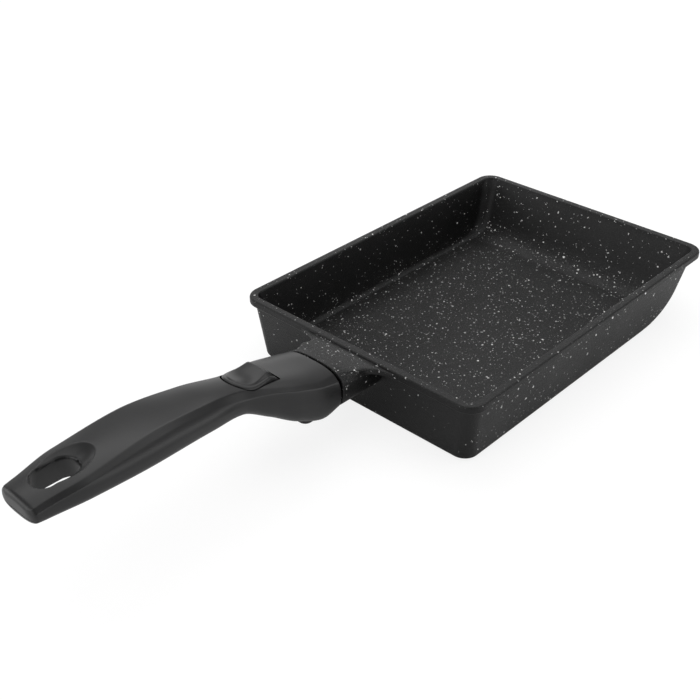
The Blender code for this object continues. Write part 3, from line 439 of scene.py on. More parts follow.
def monotone(xs, ys, x):
    """Cubic Hermite curve through stations.

    Its slopes are harmonic means of the stretches' slopes, so it never overshoots.
    """
    gap = np.diff(xs)
    slope = np.diff(ys) / gap
    before, behind = slope[:-1], slope[1:]
    same = before * behind > 0
    a, b = 2 * gap[1:] + gap[:-1], gap[1:] + 2 * gap[:-1]
    mean = (a + b) / (a / np.where(same, before, 1.0) + b / np.where(same, behind, 1.0))
    tangent = np.concatenate([slope[:1], np.where(same, mean, 0.0), slope[-1:]])
    i = np.clip(np.searchsorted(xs, x) - 1, 0, len(gap) - 1)
    t = (x - xs[i]) / gap[i]
    rest = 1 - t
    return (
        (1 + 2 * t) * rest ** 2 * ys[i] + t * rest ** 2 * gap[i] * tangent[i]
        + t * t * (3 - 2 * t) * ys[i + 1] + t * t * (t - 1) * gap[i] * tangent[i + 1]
    )


def along_handle(columns, distance):
    """Values of a table's columns at distances behind the seam."""
    return [monotone(STATIONS[:, 0], column, np.asarray(distance, float)) for column in columns.T]


def handle_size(distance):
    """Half width, crown level, thickness and squareness at distances behind the seam."""
    return along_handle(STATIONS[:, 1:], distance)


def crown_level(x):
    """Height of the middle of the handle's crown at world X."""
    return handle_size(SEAM_X - np.asarray(x, float))[1]


def ridge_size(distance):
    """Shoulder's half width and drop, dome's power, ridge's half width and drop."""
    return along_handle(RIDGES, distance)


def surface_level(x, y):
    """Height of the handle's crown and bevel over a point of the plan."""
    distance, y = SEAM_X - x, np.abs(y)
    shoulder, shoulder_drop, power, ridge, ridge_drop = ridge_size(distance)
    dome = shoulder_drop * (y / shoulder) ** power
    bevel = shoulder_drop + (ridge_drop - shoulder_drop) * (y - shoulder) / (ridge - shoulder)
    return crown_level(x) - np.where(y < shoulder, dome, bevel)


def wall_inset(level, draft, radius, top, foot):
    """Inset of a leaning wall at an array of heights, and how steep it stands there, in radians.

    The wall is top + draft (H - z), and its foot is a circle of the radius that touches the
    level z = foot.
    """
    steep = math.pi / 2 - math.atan(draft)
    turn = np.arccos(np.clip(1 - (level - foot) / radius, math.cos(steep), 1.0))
    start = top + draft * (PAN_HEIGHT - foot) + radius * math.tan(steep / 2)
    straight = top + draft * (PAN_HEIGHT - level)
    return np.where(turn < steep, start - radius * np.sin(turn), straight), turn


def wall_rows(level, top, foot, side_radius, far_radius, corner, far_corner):
    """Rows of a wall: height, side inset, far inset, near radius, and the far radii in X and Y.

    The far corner's radius grows from the side's foot to its full size as the sweep rises, by
    the share of the sweep's turn to a small power.
    """
    side, _ = wall_inset(level, SIDE_DRAFT, side_radius, top, foot)
    far, turn = wall_inset(level, FAR_DRAFT, far_radius, top, foot)
    steep = math.pi / 2 - math.atan(FAR_DRAFT)
    radius = side_radius + (far_corner - side_radius) * (turn / steep) ** SWEEP_BLEND
    lifted = np.sqrt(np.clip((level - foot) / side_radius, 0.0, 1.0))
    across = np.maximum(radius * lifted, SWEEP_LEAST)
    along = radius / np.maximum(np.sin(turn), SWEEP_STEEP)
    return np.stack([level, side, far, np.full_like(level, corner), along, across], -1)


def wall_levels(foot, side_radius, far_radius, high):
    """Heights through the sides' round foot and the far wall's sweep, at even turns, and above."""
    side_steep = math.pi / 2 - math.atan(SIDE_DRAFT)
    far_steep = math.pi / 2 - math.atan(FAR_DRAFT)
    side = side_radius * (1 - np.cos(np.linspace(0, side_steep, FILLET_STEPS)))
    start = math.acos(1 - side[-1] / far_radius)
    sweep = far_radius * (1 - np.cos(np.linspace(start, far_steep, FILLET_STEPS)[1:]))
    above = np.linspace(foot + sweep[-1], high, SIDE_STEPS // 2 + 1)[1:]
    return np.concatenate([foot + side, foot + sweep, above])


def pan_rings(level, side_in, far_in, near_radius, far_along, far_across):
    """Level rounded rectangles, one for each entry of the arrays.

    A corner's points are its middle plus (radius cos a, radius sin a); the far corners are
    quarters of ellipses. Straight lines join the corners.
    """
    level, side_in, far_in, near_radius, far_along, far_across = (
        column[:, None] for column in (level, side_in, far_in, near_radius, far_along, far_across)
    )
    turn = np.linspace(0, math.pi / 2, CORNER_STEPS + 1)[None]
    corners = []
    for along, across, quarter in QUARTERS:
        angle = quarter * math.pi / 2 + turn
        radius_x, radius_y = (far_along, far_across) if along > 0 else (near_radius, near_radius)
        inset = far_in if along > 0 else side_in
        x = along * (PAN_LENGTH / 2 - inset - radius_x) + radius_x * np.cos(angle)
        y = across * (PAN_WIDTH / 2 - side_in - radius_y) + radius_y * np.sin(angle)
        corners.append(np.stack([x, y, level + 0 * x], -1))
    t = (np.arange(1, SIDE_STEPS) / SIDE_STEPS)[None, :, None]
    parts = []
    for corner, following in zip(corners, corners[1:] + corners[:1]):
        parts += [corner, corner[:, -1:] * (1 - t) + following[:, :1] * t]
    return np.concatenate(parts, axis=1)


def even_rows(level, side, far, near_radius, far_radius):
    """Rows of pan_rings whose far corners are round."""
    columns = (np.atleast_1d(c) for c in (level, side, far, near_radius, far_radius, far_radius))
    return np.stack(np.broadcast_arrays(*columns), -1)


def pan_profile(sizes):
    """Rows of pan_rings from the underside, up outside, over the lip and the rim, and down inside.

    The wall runs out into the lip by 3t^2 - 2t^3 of its height, and quarter circles round the
    rim's two edges.
    """
    overhang, inner = sizes.lip_overhang, sizes.lip_overhang + sizes.wall
    corner = CORNER_RADIUS - overhang
    lip = PAN_HEIGHT - sizes.lip_depth
    levels = wall_levels(BASE_STEP, BASE_RADIUS, FAR_BASE_RADIUS, lip - LIP_SOFTNESS)
    outer = (overhang, BASE_STEP, BASE_RADIUS, FAR_BASE_RADIUS, corner, FAR_CORNER_RADIUS)
    rows = wall_rows(levels, *outer)
    foot_side, foot_far = rows[0, 1] + BASE_STEP_MARGIN, rows[0, 2] + BASE_STEP_MARGIN
    step = 2 * BASE_STEP * np.array((0.0, 1.0))
    land = even_rows(step / 2, foot_side - step, foot_far - step, corner, FAR_CORNER_RADIUS)
    level = np.linspace(lip - LIP_SOFTNESS, lip + LIP_SOFTNESS, 2 * FILLET_STEPS)[1:]
    out = smoothstep(lip - LIP_SOFTNESS, lip + LIP_SOFTNESS, level)
    below = PAN_HEIGHT - level
    side, far = ((overhang + draft * below) * (1 - out) for draft in (SIDE_DRAFT, FAR_DRAFT))
    far_radius = FAR_CORNER_RADIUS + (CORNER_RADIUS - FAR_CORNER_RADIUS) * out
    ogee = even_rows(level, side, far, corner + overhang * out, far_radius)
    turn = np.linspace(0, math.pi / 2, FILLET_STEPS // 2)
    up, over = 1 - np.sin(turn), 1 - np.cos(turn)
    inset = np.concatenate([OUTER_BEAD * over, inner - INNER_BEAD * up])
    level = PAN_HEIGHT - np.concatenate([OUTER_BEAD * up, INNER_BEAD * over])
    rim = even_rows(level, inset, inset, CORNER_RADIUS - inset, CORNER_RADIUS - inset)
    radii = (INNER_RADIUS, FAR_INNER_RADIUS)
    levels = wall_levels(FLOOR, *radii, PAN_HEIGHT - INNER_BEAD - sizes.wall)
    inside = wall_rows(levels, inner, FLOOR, *radii, INNER_CORNER_RADIUS, FAR_INNER_CORNER_RADIUS)
    return np.concatenate([land, rows, ogee, rim, inside[::-1]])


def fleck_amounts(points, rows):
    """How thickly the flecks lie on each point of the shell, whose rings have the rows.

    It falls from the floor up the inner walls, less so on the far one, and is lower still
    outside. It is least beside the stub, as painted shade where the stub and the handle shade
    the wall.
    """
    ring = np.arange(len(points)) // pan_rings(*rows[:1].T).shape[1]
    outside = (ring < rows[:, 0].argmax()) | (points[:, 2] < FLOOR / 2)
    wall = smoothstep(*WALL_BAND, (points[:, 2] - FLOOR) / INNER_RADIUS)
    far = smoothstep(*FAR_WALL_BAND, points[:, 0] / PAN_LENGTH)
    amount = np.where(outside, FLECKS_OUTSIDE, 1 - (WALL_LOSS - FAR_WALL_GAIN * far) * wall)
    # Painted shade: the outer wall at the handle gets the fewest flecks, where the stub and the
    # handle shade it
    beside = outside & (points[:, 0] < -PAN_LENGTH / 2 + CORNER_RADIUS)
    rim = points[:, 2] > PAN_HEIGHT - RIM_PART * OUTER_BEAD
    return np.where(rim, FLECKS_ON_RIM, np.where(beside, PAINTED_SHADE_FLECKS_BESIDE_STUB, amount))


def section(half_width, half_height, squareness, belly, turn):
    """Superellipse |y / w|^p + |z / h|^p = 1 at angles, squarer by belly below its middle."""
    cosine, sine = np.cos(turn), np.sin(turn)
    power = 2 / (squareness + belly * (sine < 0))
    across = half_width * np.sign(cosine) * np.abs(cosine) ** power
    return across, half_height * np.sign(sine) * np.abs(sine) ** power


def straight_on(first, last, count):
    """Even points on the lines from the first to the last, without the first."""
    t = np.linspace(0, 1, count)[None, 1:, None]
    return first * (1 - t) + last * t


def stub_rings(sizes):
    """Sections of the stub from inside the rim to the seam.

    Each half section runs from the bottom up the side, out along the flange's underside, up
    its edge and back over the top. The flange's half width follows a quarter ellipse into the
    rim and fades out towards the seam, and a running mean along the section rounds its corners.
    The last sections draw in by a quarter circle, and the end leans to the pan at its top.
    """
    seam_top = float(crown_level(SEAM_X)) - STUB_DROP_AT_SEAM
    rim_top = PAN_HEIGHT - STUB_DROP_AT_RIM
    low = seam_top - STUB_HEIGHT
    end = SEAM_X + SEAM_GAP + STUB_END_ROUND
    turn = np.linspace(0, math.pi / 2, STUB_ROUND_STEPS + 1)[1:]
    x = np.linspace(-PAN_LENGTH / 2 + sizes.wall, end, STUB_STEPS)
    x = np.concatenate([x, end - STUB_END_ROUND * np.sin(turn)])[:, None]
    drawn_in = np.concatenate([np.zeros(STUB_STEPS), STUB_END_ROUND * (1 - np.cos(turn))])[:, None]
    outwards = -PAN_LENGTH / 2 - x
    share = np.clip(outwards / STUB_LENGTH, 0.0, 1.0)
    top = rim_top + (seam_top - rim_top) * share
    width = STUB_HALF_WIDTH - STUB_TAPER * (1 - share)
    half_height, middle = (top - low) / 2, (top + low) / 2

    along = np.clip(1 - outwards / FLANGE_FLARE_LENGTH, 0.0, 1.0)
    flare = FLANGE_FLARE_WIDTH * (1 - np.sqrt(1 - along * along))
    flare = STUB_HALF_WIDTH - FLANGE_NARROWING + flare
    under = PAN_HEIGHT - sizes.lip_depth + outwards * FLANGE_UNDERSIDE_RISE
    under_share = (under - middle) / half_height
    under_turn = np.arcsin(np.clip(under_share, -STUB_TURN_LIMIT, STUB_TURN_LIMIT))

    def plain_part(first, last, t):
        turn = first + (last - first) * t
        part = section(width, half_height, STUB_SQUARENESS, BELLY_SQUARENESS, turn)
        return np.stack([part[0], part[1] + middle], -1)

    lower = plain_part(-math.pi / 2, under_turn, np.linspace(0, 1, STUB_LOWER_STEPS)[None])
    corner = lower[:, -1:]
    edge = np.maximum(flare, corner[..., 0])
    edge_low = np.stack([edge, corner[..., 1]], -1)
    edge_high = np.stack([edge, top - STUB_EDGE_ROUND], -1)
    t = np.linspace(0, 1, STUB_TOP_STEPS)[None, 1:]
    round_edge = STUB_EDGE_ROUND * np.sin(t * math.pi / 2)
    upper = np.stack([edge * (1 - t), top - STUB_EDGE_ROUND + round_edge], -1)
    lines = (corner, edge_low), (edge_low, edge_high)
    flange = [straight_on(*line, STUB_FLANGE_STEPS) for line in lines]
    flanged = np.concatenate([lower, *flange, upper], 1)

    count = flanged.shape[1] - lower.shape[1]
    t = np.linspace(0, 1, count + 1)[None, 1:]
    plain = np.concatenate([lower, plain_part(under_turn, math.pi / 2, t)], 1)
    fade = smoothstep(*FLANGE_FADE, outwards)[..., None]
    half = flanged * (1 - fade) + plain * fade
    whole = np.concatenate([half, (half * (-1, 1))[:, -2:0:-1]], 1)
    kernel = np.array((1, 4, 6, 4, 1)) / 16
    for _ in range(STUB_EDGE_PASSES):
        whole = sum(w * np.roll(whole, shift, axis=1) for w, shift in zip(kernel, range(-2, 3)))
    centre = np.stack([np.zeros_like(middle), middle], -1)
    drawn = 1 - drawn_in[..., None] / STUB_HALF_WIDTH
    whole = centre + (whole - centre) * drawn ** (1, 2)
    height = (whole[..., 1:] - middle[..., None]) / half_height[..., None]
    x = x[..., None] + SEAM_LEAN * height * share[..., None] ** 4
    return np.concatenate([x, whole], -1)


def tongue_rings():
    """Rounded bar along the socket axis, whose top drops by the notch's depth inside the notch."""
    hair = 0.00002
    notch_end = NOTCH_START + NOTCH_LENGTH
    stops = np.array((
        -TONGUE_ROOT, NOTCH_START, NOTCH_START + hair, notch_end - hair, notch_end,
        TONGUE_LENGTH - TONGUE_CHAMFER_LENGTH, TONGUE_LENGTH,
    ))[:, None]
    drop = np.array((0.0, 0.0, 1.0, 1.0, 0.0, 0.0, 0.0))[:, None] * NOTCH_DEPTH
    ease = np.array((0.0, 0.0, 0.0, 0.0, 0.0, 0.0, 1.0))[:, None] * TONGUE_CHAMFER
    turn = np.linspace(0, 2 * math.pi, TONGUE_STEPS, endpoint=False)[None]
    top, bottom = TONGUE_TOP - drop - ease, TONGUE_BOTTOM + ease
    half = (TONGUE_WIDTH / 2 - ease, (top - bottom) / 2)
    across, up = section(*half, TONGUE_SQUARENESS, 0.0, turn)
    level = up + (top + bottom) / 2
    bar = AXIS_START + AXIS * stops[..., None] + UPWARD * level[..., None]
    return bar + np.array((0.0, 1.0, 0.0)) * across[..., None]


def handle_stops():
    """Distances of the handle's sections, closer together at the button and at the slot."""
    stops = []
    place = MOUTH_ROUND
    while place < HANDLE_LENGTH - END_ROUNDING:
        stops.append(place)
        fine = (step for low, high, step in FINE_STRETCHES if low <= place < high)
        place += next(fine, COARSE_STEP)
    return np.array(stops)


def slot_distance(x, y, sizes):
    """Distance in the plan from the slot's outline, a stadium: positive outside it."""
    reach = (sizes.slot_length - sizes.slot_width) / 2
    along = np.maximum(np.abs(x - (SEAM_X - SLOT_MIDDLE)) - reach, 0.0)
    return np.hypot(along, y) - sizes.slot_width / 2


def handle_half(distance):
    """Half widths and heights over the middle of sections, from the crown to the bottom.

    The crown is the dome z = -d (y / s)^k out to the shoulder, then comes a straight bevel to
    the ridge, a side that follows a parabola out to the full width at mid height, and a quarter
    of the superellipse |y / w|^p + |z / h|^p = 1.
    """
    half, _, thickness, squareness = handle_size(distance)
    shoulder, shoulder_drop, power, ridge, ridge_drop = ridge_size(distance)
    dome = np.linspace(0, 1, DOME_STEPS)[None]
    rest = np.linspace(0, 1, BEVEL_STEPS + 1)[None, 1:]
    y = [shoulder * dome, shoulder + (ridge - shoulder) * rest]
    bevel = shoulder_drop + (ridge_drop - shoulder_drop) * rest
    drop = [shoulder_drop * dome ** power, bevel]
    y.append(half - (half - ridge) * (1 - rest) ** 2)
    drop.append(ridge_drop + (thickness / 2 - ridge_drop) * rest)
    turn = np.linspace(0, math.pi / 2, BELLY_STEPS + 1)[None, 1:]
    y.append(half * np.maximum(np.cos(turn), 0.0) ** (2 / squareness))
    drop.append(thickness / 2 * (1 + np.sin(turn) ** (2 / squareness)))
    return np.concatenate(y, 1), thickness / 2 - np.concatenate(drop, 1)


def handle_rings(sizes):
    """Sections of the handle, with the dish round the slot and the slot's round edge.

    A running mean along the section rounds its edges, and quarter circles round the mouth and
    the end. The crown is lowered to a bowl z = c + r - sqrt(r^2 - (x / s)^2 - y^2) in the dish,
    and by a quarter circle near the slot's outline.
    """
    stops = handle_stops()
    none = np.zeros_like(stops)
    mouth = np.radians(np.linspace(90, MOUTH_LEAST_TURN, MOUTH_STEPS))
    end = np.radians(np.linspace(0, 90, END_STEPS + 1))[1:]
    ends = HANDLE_LENGTH - END_ROUNDING * (1 - np.sin(end))
    distance = np.concatenate([MOUTH_ROUND * (1 - np.sin(mouth)), stops, ends])[:, None]
    side_inset, inset = (
        np.concatenate([MOUTH_ROUND * (1 - np.cos(mouth)), none, size * (1 - np.cos(end))])[:, None]
        for size in (END_CORNER, END_ROUNDING)
    )
    half, crown, thickness, _ = handle_size(distance)
    whole = np.stack(handle_half(distance), -1)
    whole = np.concatenate([whole, (whole * (-1, 1))[:, -2:0:-1]], 1)
    for _ in range(EDGE_PASSES):
        whole = (np.roll(whole, 1, 1) + 2 * whole + np.roll(whole, -1, 1)) / 4
    across = whole[..., 0] * (1 - side_inset / half)
    up = whole[..., 1] * (1 - 2 * inset / thickness)
    x = SEAM_X - distance + 0 * across
    z = crown - thickness / 2 + up

    upper = up > 0
    depth = sizes.dish_depth
    radius = (DISH_WIDTH * DISH_WIDTH / 4 + depth * depth) / (2 * depth)
    dish_x = SEAM_X - SLOT_MIDDLE + DISH_LEAD
    reach = ((x - dish_x) * DISH_WIDTH / DISH_LENGTH) ** 2 + across ** 2
    bowl = crown_level(dish_x) - depth + radius
    bowl = bowl - np.sqrt(np.maximum(radius * radius - reach, 0.0))
    z = np.where(upper & (reach < radius * radius), soft_min(z, bowl, DISH_EDGE), z)
    near = np.clip(1 - slot_distance(x, across, sizes) / SLOT_ROUND, 0.0, 1.0)
    roll = SLOT_ROUND * (1 - np.sqrt(1 - near * near))
    rings = np.stack([x, across, z - np.where(upper, roll, -roll)], -1)
    middle = rings[-1:].mean(1, keepdims=True)
    closing = [middle + (rings[-1:] - middle) * (1, share, share) for share in CLOSING_SHARES]
    return np.concatenate([rings, *closing])


def lofted(name, places):
    """Closed block through outlines of (x, y) points, each at a height or at a height a point."""
    rings = [np.column_stack([outline, level + 0 * outline[:, 0]]) for outline, level in places]
    return skin(name, np.array(rings))


def prism(name, outline, low, high):
    """Upright block over an outline of (x, y) points from one height to another."""
    outline = np.asarray(outline, float)
    return lofted(name, ((outline, low), (outline, high)))


def on_axis(mesh):
    """Moves a mesh laid out along the socket axis (X back along it, Z above it) to its place."""
    turn = Matrix((
        (AXIS[0], 0.0, UPWARD[0], AXIS_START[0]),
        (AXIS[1], -1.0, UPWARD[1], AXIS_START[1]),
        (AXIS[2], 0.0, UPWARD[2], AXIS_START[2]),
        (0.0, 0.0, 0.0, 1.0),
    ))
    mesh.transform(turn)
    return mesh


def block(name, low, high):
    """Box between two corners."""
    (x0, y0, z0), (x1, y1, z1) = low, high
    return prism(name, ((x0, y0), (x1, y0), (x1, y1), (x0, y1)), z0, z1)


def disc(name, radius, low, high, middle, count=48):
    """Upright cylinder about (x, y)."""
    turn = np.linspace(0, 2 * math.pi, count, endpoint=False)
    outline = np.stack([middle[0] + radius * np.cos(turn), middle[1] + radius * np.sin(turn)], -1)
    return prism(name, outline, low, high)


def stadium(length, width, count=72):
    """Closed outline with round ends about the origin."""
    turn = np.linspace(-math.pi / 2, math.pi / 2, count)
    reach = (length - width) / 2
    right = np.stack([reach + width / 2 * np.cos(turn), width / 2 * np.sin(turn)], -1)
    return np.concatenate([right, -right])


def round_rectangle(low, high, half_width, radius, count=8):
    """Closed outline with round corners from low to high in X, centred in Y."""
    parts = []
    for along, across, quarter in QUARTERS:
        turn = np.linspace(0, math.pi / 2, count) + quarter * math.pi / 2
        x = (high - radius if along > 0 else low + radius) + radius * np.cos(turn)
        parts.append(np.stack([x, across * (half_width - radius) + radius * np.sin(turn)], -1))
    return np.concatenate(parts)


def button_outline(grow_side=0.0, grow_rear=0.0, count=48):
    """Closed plan of the button: straight front edge, sides that widen, and a round rear.

    The rear is x = bend - reach cos(a)^q, y = half sin(a); the sides are straight lines and the
    front corners are rounded by a running mean.
    """
    half, front_half = BUTTON_HALF_WIDTH + grow_side, BUTTON_FRONT_HALF + grow_side
    front, rear = BUTTON_FRONT + grow_side, BUTTON_REAR - grow_rear
    bend = front - BUTTON_BEND * (front - rear)
    turn = np.linspace(math.pi / 2, -math.pi / 2, count)
    round_rear = np.maximum(np.cos(turn), 0.0) ** BUTTON_ROUNDNESS
    back = np.stack([bend - (bend - rear) * round_rear, half * np.sin(turn)], -1)
    corners = np.array(((front, -front_half), (front, front_half)))
    ends = np.array((back[-1], *corners, back[0]))[:, None, None]
    lines = [straight_on(a, b, count // 2)[0] for a, b in zip(ends, ends[1:])]
    outline = np.concatenate([back, *lines])[:-1]
    step = np.linalg.norm(np.roll(outline, -1, 0) - outline, axis=1)
    place = np.concatenate([[0.0], np.cumsum(step)])
    even = np.linspace(0, place[-1], 4 * count, endpoint=False)
    loop = np.concatenate([outline, outline[:1]])
    outline = np.stack([np.interp(even, place, loop[:, k]) for k in (0, 1)], -1)
    for _ in range(3):
        outline = (np.roll(outline, 1, 0) + 2 * outline + np.roll(outline, -1, 0)) / 4
    return outline


def button_height(share, across, ridge):
    """Height of the cap over the crown: a ramp sin^p to the ridge, then (1 - t)^q to the rear."""
    place = BUTTON_LIP_PLACE
    rise = np.sin(math.pi / 2 * np.clip(share / place, 0.0, 1.0)) ** BUTTON_RAMP_BEND
    back = np.clip((share - place) / (1 - place), 0.0, 1.0)
    fall = ridge * (1 - back) ** BUTTON_FALL_BEND + BUTTON_REAR_HEIGHT * back
    fall = fall - BUTTON_DISH_DEPTH * np.sin(math.pi * back) ** 2 * (1 - across * across)
    level = ridge + 0 * fall
    lower, higher = np.where(share < place, (rise * ridge, level), (level, fall))
    height = soft_min(lower, higher, BUTTON_LIP_BLEND)
    return height * (1 - BUTTON_LIP_FALL * across * across)


def button_underside(x):
    """Level of the cap's underside: a skirt below the crown, and clear of the frame's ears."""
    ears = PIN_POINT[2] + max(FRAME_EAR, BARREL_RADIUS) + CLEARANCE
    return np.maximum(crown_level(x) - BUTTON_SKIRT, ears)


def button_rings(sizes):
    """Cap: rings of its outline drawn in towards the middle, below, up the edge and over the top.

    Near its edge the cap stands only a share of its height over the crown, as a ledge.
    """
    outline = button_outline()
    middle = np.array((BUTTON_FRONT - 0.5 * BUTTON_LENGTH, 0.0))
    rings = []
    for shrink in BUTTON_UNDERSIDE_SHRINKS:
        ring = outline + (middle - outline) * shrink
        rings.append(np.column_stack([ring, button_underside(ring[:, 0])]))
    skirt = button_underside(outline[:, 0]) + CLEARANCE
    rings.append(np.column_stack([outline, skirt]))
    edge = np.radians(np.linspace(0, 90, BUTTON_EDGE_STEPS))
    depth = BUTTON_EDGE / BUTTON_HALF_WIDTH
    steps = [(depth * (1 - math.cos(a)), BUTTON_EDGE * (1 - math.sin(a))) for a in edge]
    top = np.linspace(depth, BUTTON_TOP_SHRINK, BUTTON_TOP_STEPS)[1:]
    steps += [(shrink, 0.0) for shrink in top]
    for shrink, sunk in steps:
        ring = outline + (middle - outline) * shrink
        share, across = (BUTTON_FRONT - ring[:, 0]) / BUTTON_LENGTH, ring[:, 1] / BUTTON_HALF_WIDTH
        raised = BUTTON_LEDGE + (1 - BUTTON_LEDGE) * smoothstep(*BUTTON_LEDGE_WIDTH, shrink)
        height = button_height(share, across, sizes.thumb_ridge) * raised
        level = surface_level(ring[:, 0], ring[:, 1]) + height - sunk
        rings.append(np.column_stack([ring, np.maximum(level, skirt if shrink < depth else -1.0)]))
    return np.array(rings)


def slot_cutter(sizes):
    """Slot's block: its outline widens from below the dish to the underside and leads forwards."""
    slot_x = SEAM_X - SLOT_MIDDLE
    level, thickness = float(crown_level(slot_x)), STATIONS[SLOT_STATION, 3]
    top = stadium(sizes.slot_length, sizes.slot_width) + (slot_x, 0.0)
    foot = stadium(SLOT_FOOT_LENGTH, sizes.slot_width + 2 * SLOT_WIDENING)
    foot = foot + (slot_x + SLOT_FOOT_LEAD, 0.0)
    return lofted("slot", (
        (foot, level - 2 * thickness), (foot, level - thickness),
        (top, level - sizes.dish_depth), (top, level + thickness),
    ))


def parting_cutter():
    """Thin plate round the tail's end, which leaves a fine parting line in it."""
    turn = np.linspace(0, math.pi / 2, PARTING_STEPS)
    half, crown, thickness, _ = STATIONS[-1, 1:]
    x = SEAM_X - HANDLE_LENGTH + END_ROUNDING * (1 - np.sin(turn))
    y = half - END_CORNER * (1 - np.cos(turn))
    path = np.concatenate([np.stack([x, y], -1), np.stack([x, -y], -1)[::-1]])
    away = np.gradient(path, axis=0)[:, ::-1] * (1, -1)
    away /= np.linalg.norm(away, axis=1, keepdims=True)
    away *= np.sign((away * (path - path.mean(0))).sum(1))[:, None]
    level = crown - thickness / 2 * (1 + PARTING_LEVEL)
    corners = ((-PARTING_DEPTH, -1), (-PARTING_DEPTH, 1), (OVERCUT, 1), (OVERCUT, -1))
    rings = [
        np.column_stack([path + away * out, level + side * PARTING_WIDTH / 2 + 0 * path[:, 0]])
        for out, side in corners
    ]
    return skin("parting", np.stack(rings, 1))


def handle_cutters(sizes):
    """Closed blocks to cut away: socket, channel, well, arm pocket, spring seat, slot and bores.

    The button's well is shorter at its mouth than at its floor, so that the gap behind the
    button is a fine line and its rear still has room to go down.
    """
    lower_end = TONGUE_LENGTH + FRAME_START + 2 * SOCKET_GAP
    low = (-2 * OVERCUT, -SOCKET_HALF, FRAME_FLOOR - SOCKET_GAP)
    tools = [on_axis(block("socket", low, (lower_end, SOCKET_HALF, TONGUE_TOP + SOCKET_HEADROOM)))]
    side = SOCKET_HALF - CLEARANCE / 6
    low = (-OVERCUT, -side, TONGUE_TOP - FRAME_STEP - SOCKET_GAP)
    high = (PIN_DISTANCE + FRAME_EAR + SOCKET_GAP, side, PIN_LEVEL + FRAME_EAR + SOCKET_GAP)
    tools.append(on_axis(block("channel", low, high)))
    well_floor = float(button_underside(BUTTON_FRONT)) - WELL_DEPTH_GAP
    gaps = (BUTTON_REAR_GAP, BUTTON_MOUTH_GAP)
    wide, narrow = (button_outline(BUTTON_SIDE_GAP, gap) for gap in gaps)
    mouth = surface_level(wide[:, 0], wide[:, 1])
    shoulder = np.maximum(mouth - BUTTON_SKIRT, well_floor + CLEARANCE)
    tools.append(lofted("well", (
        (wide, well_floor), (wide, shoulder), (narrow, mouth), (narrow, mouth + 2 * BUTTON_LENGTH),
    )))
    half = LEVER_WIDTH / 2 + POCKET_SIDE_GAP
    rear = PIN_POINT[0] - LEVER_REAR_REACH - POCKET_REAR_GAP
    floor = ARM_UNDERSIDE - LEVER_REAR_REACH * math.sin(PRESS_ANGLE) - POCKET_FLOOR_GAP
    tools.append(block("arm", (rear, -half, floor), (PIN_POINT[0], half, well_floor + CLEARANCE)))
    bore = SPRING_RADIUS + SPRING_WIRE + SPRING_SEAT_GAP
    spring_x = PIN_POINT[0] - SPRING_BACK
    tools.append(disc("seat", bore, SPRING_FOOT - CLEARANCE, PIN_POINT[2], (spring_x, 0.0)))
    tools += [slot_cutter(sizes), parting_cutter()]
    middle = (SCREW_DISTANCE, 0.0)
    head_low = SCREW_STEP - HANDLE_LENGTH / 4
    head = disc("head", WASHER_RADIUS + CLEARANCE, head_low, SCREW_STEP, middle)
    shank = disc("shank", SCREW_RADIUS + CLEARANCE, SCREW_STEP - OVERCUT, TONGUE_BOTTOM, middle)
    return tools + [on_axis(head), on_axis(shank)]


def node(tree, kind, inputs=None, **settings):
    """Adds a shader node, sets its fields, and sets or links its inputs by name or number."""
    made = tree.nodes.new("ShaderNode" + kind)
    for key, value in settings.items():
        setattr(made, key, value)
    for key, value in (inputs or {}).items():
        socket = made.inputs[key]
        if isinstance(value, bpy.types.NodeSocket):
            tree.links.new(value, socket)
        else:
            socket.default_value = value
    return made


def maths(tree, operation, *values, clamp=False):
    """Result of a Math node on numbers or sockets."""
    made = node(tree, "Math", dict(enumerate(values)), operation=operation, use_clamp=clamp)
    return made.outputs[0]


def noise(tree, place, scale, detail=2.0, **inputs):
    """Cloudy pattern on the coordinates, as a node."""
    return node(tree, "TexNoise", {"Vector": place, "Scale": scale, "Detail": detail, **inputs})


def shaded(tree, colour, light):
    """The colour times the light."""
    return node(tree, "VectorMath", {0: colour, "Scale": light}, operation="SCALE").outputs[0]


def roughness_of(tree, pattern, uneven, roughness):
    """The roughness, made uneven by a pattern: roughness + start + gain times the pattern."""
    gain, start = uneven
    return maths(tree, "MULTIPLY_ADD", pattern, gain, roughness + start)


def dress(tree, shader, colour, roughness, height, bump):
    """Links a colour, a roughness and a bump of a strength and a depth to the shader."""
    strength, depth = bump
    bump = node(tree, "Bump", {"Height": height, "Strength": strength, "Distance": depth})
    values = {"Base Color": colour, "Roughness": roughness, "Normal": bump.outputs[0]}
    for name, value in values.items():
        tree.links.new(value, shader.inputs[name])


def mixed(tree, share, first, second):
    """Colour that passes from the first to the second by the share."""
    colour_sockets = {0: share, 6: first, 7: second}
    return node(tree, "Mix", colour_sockets, data_type="RGBA").outputs[2]


def surface_material(name, ior):
    """Empty material with a Principled shader, its tree and its object coordinates."""
    made = bpy.data.materials.new(name)
    made.use_nodes = True
    tree = made.node_tree
    shader = tree.nodes["Principled BSDF"]
    shader.inputs["IOR"].default_value = ior
    return made, tree, shader, node(tree, "TexCoord").outputs["Object"]


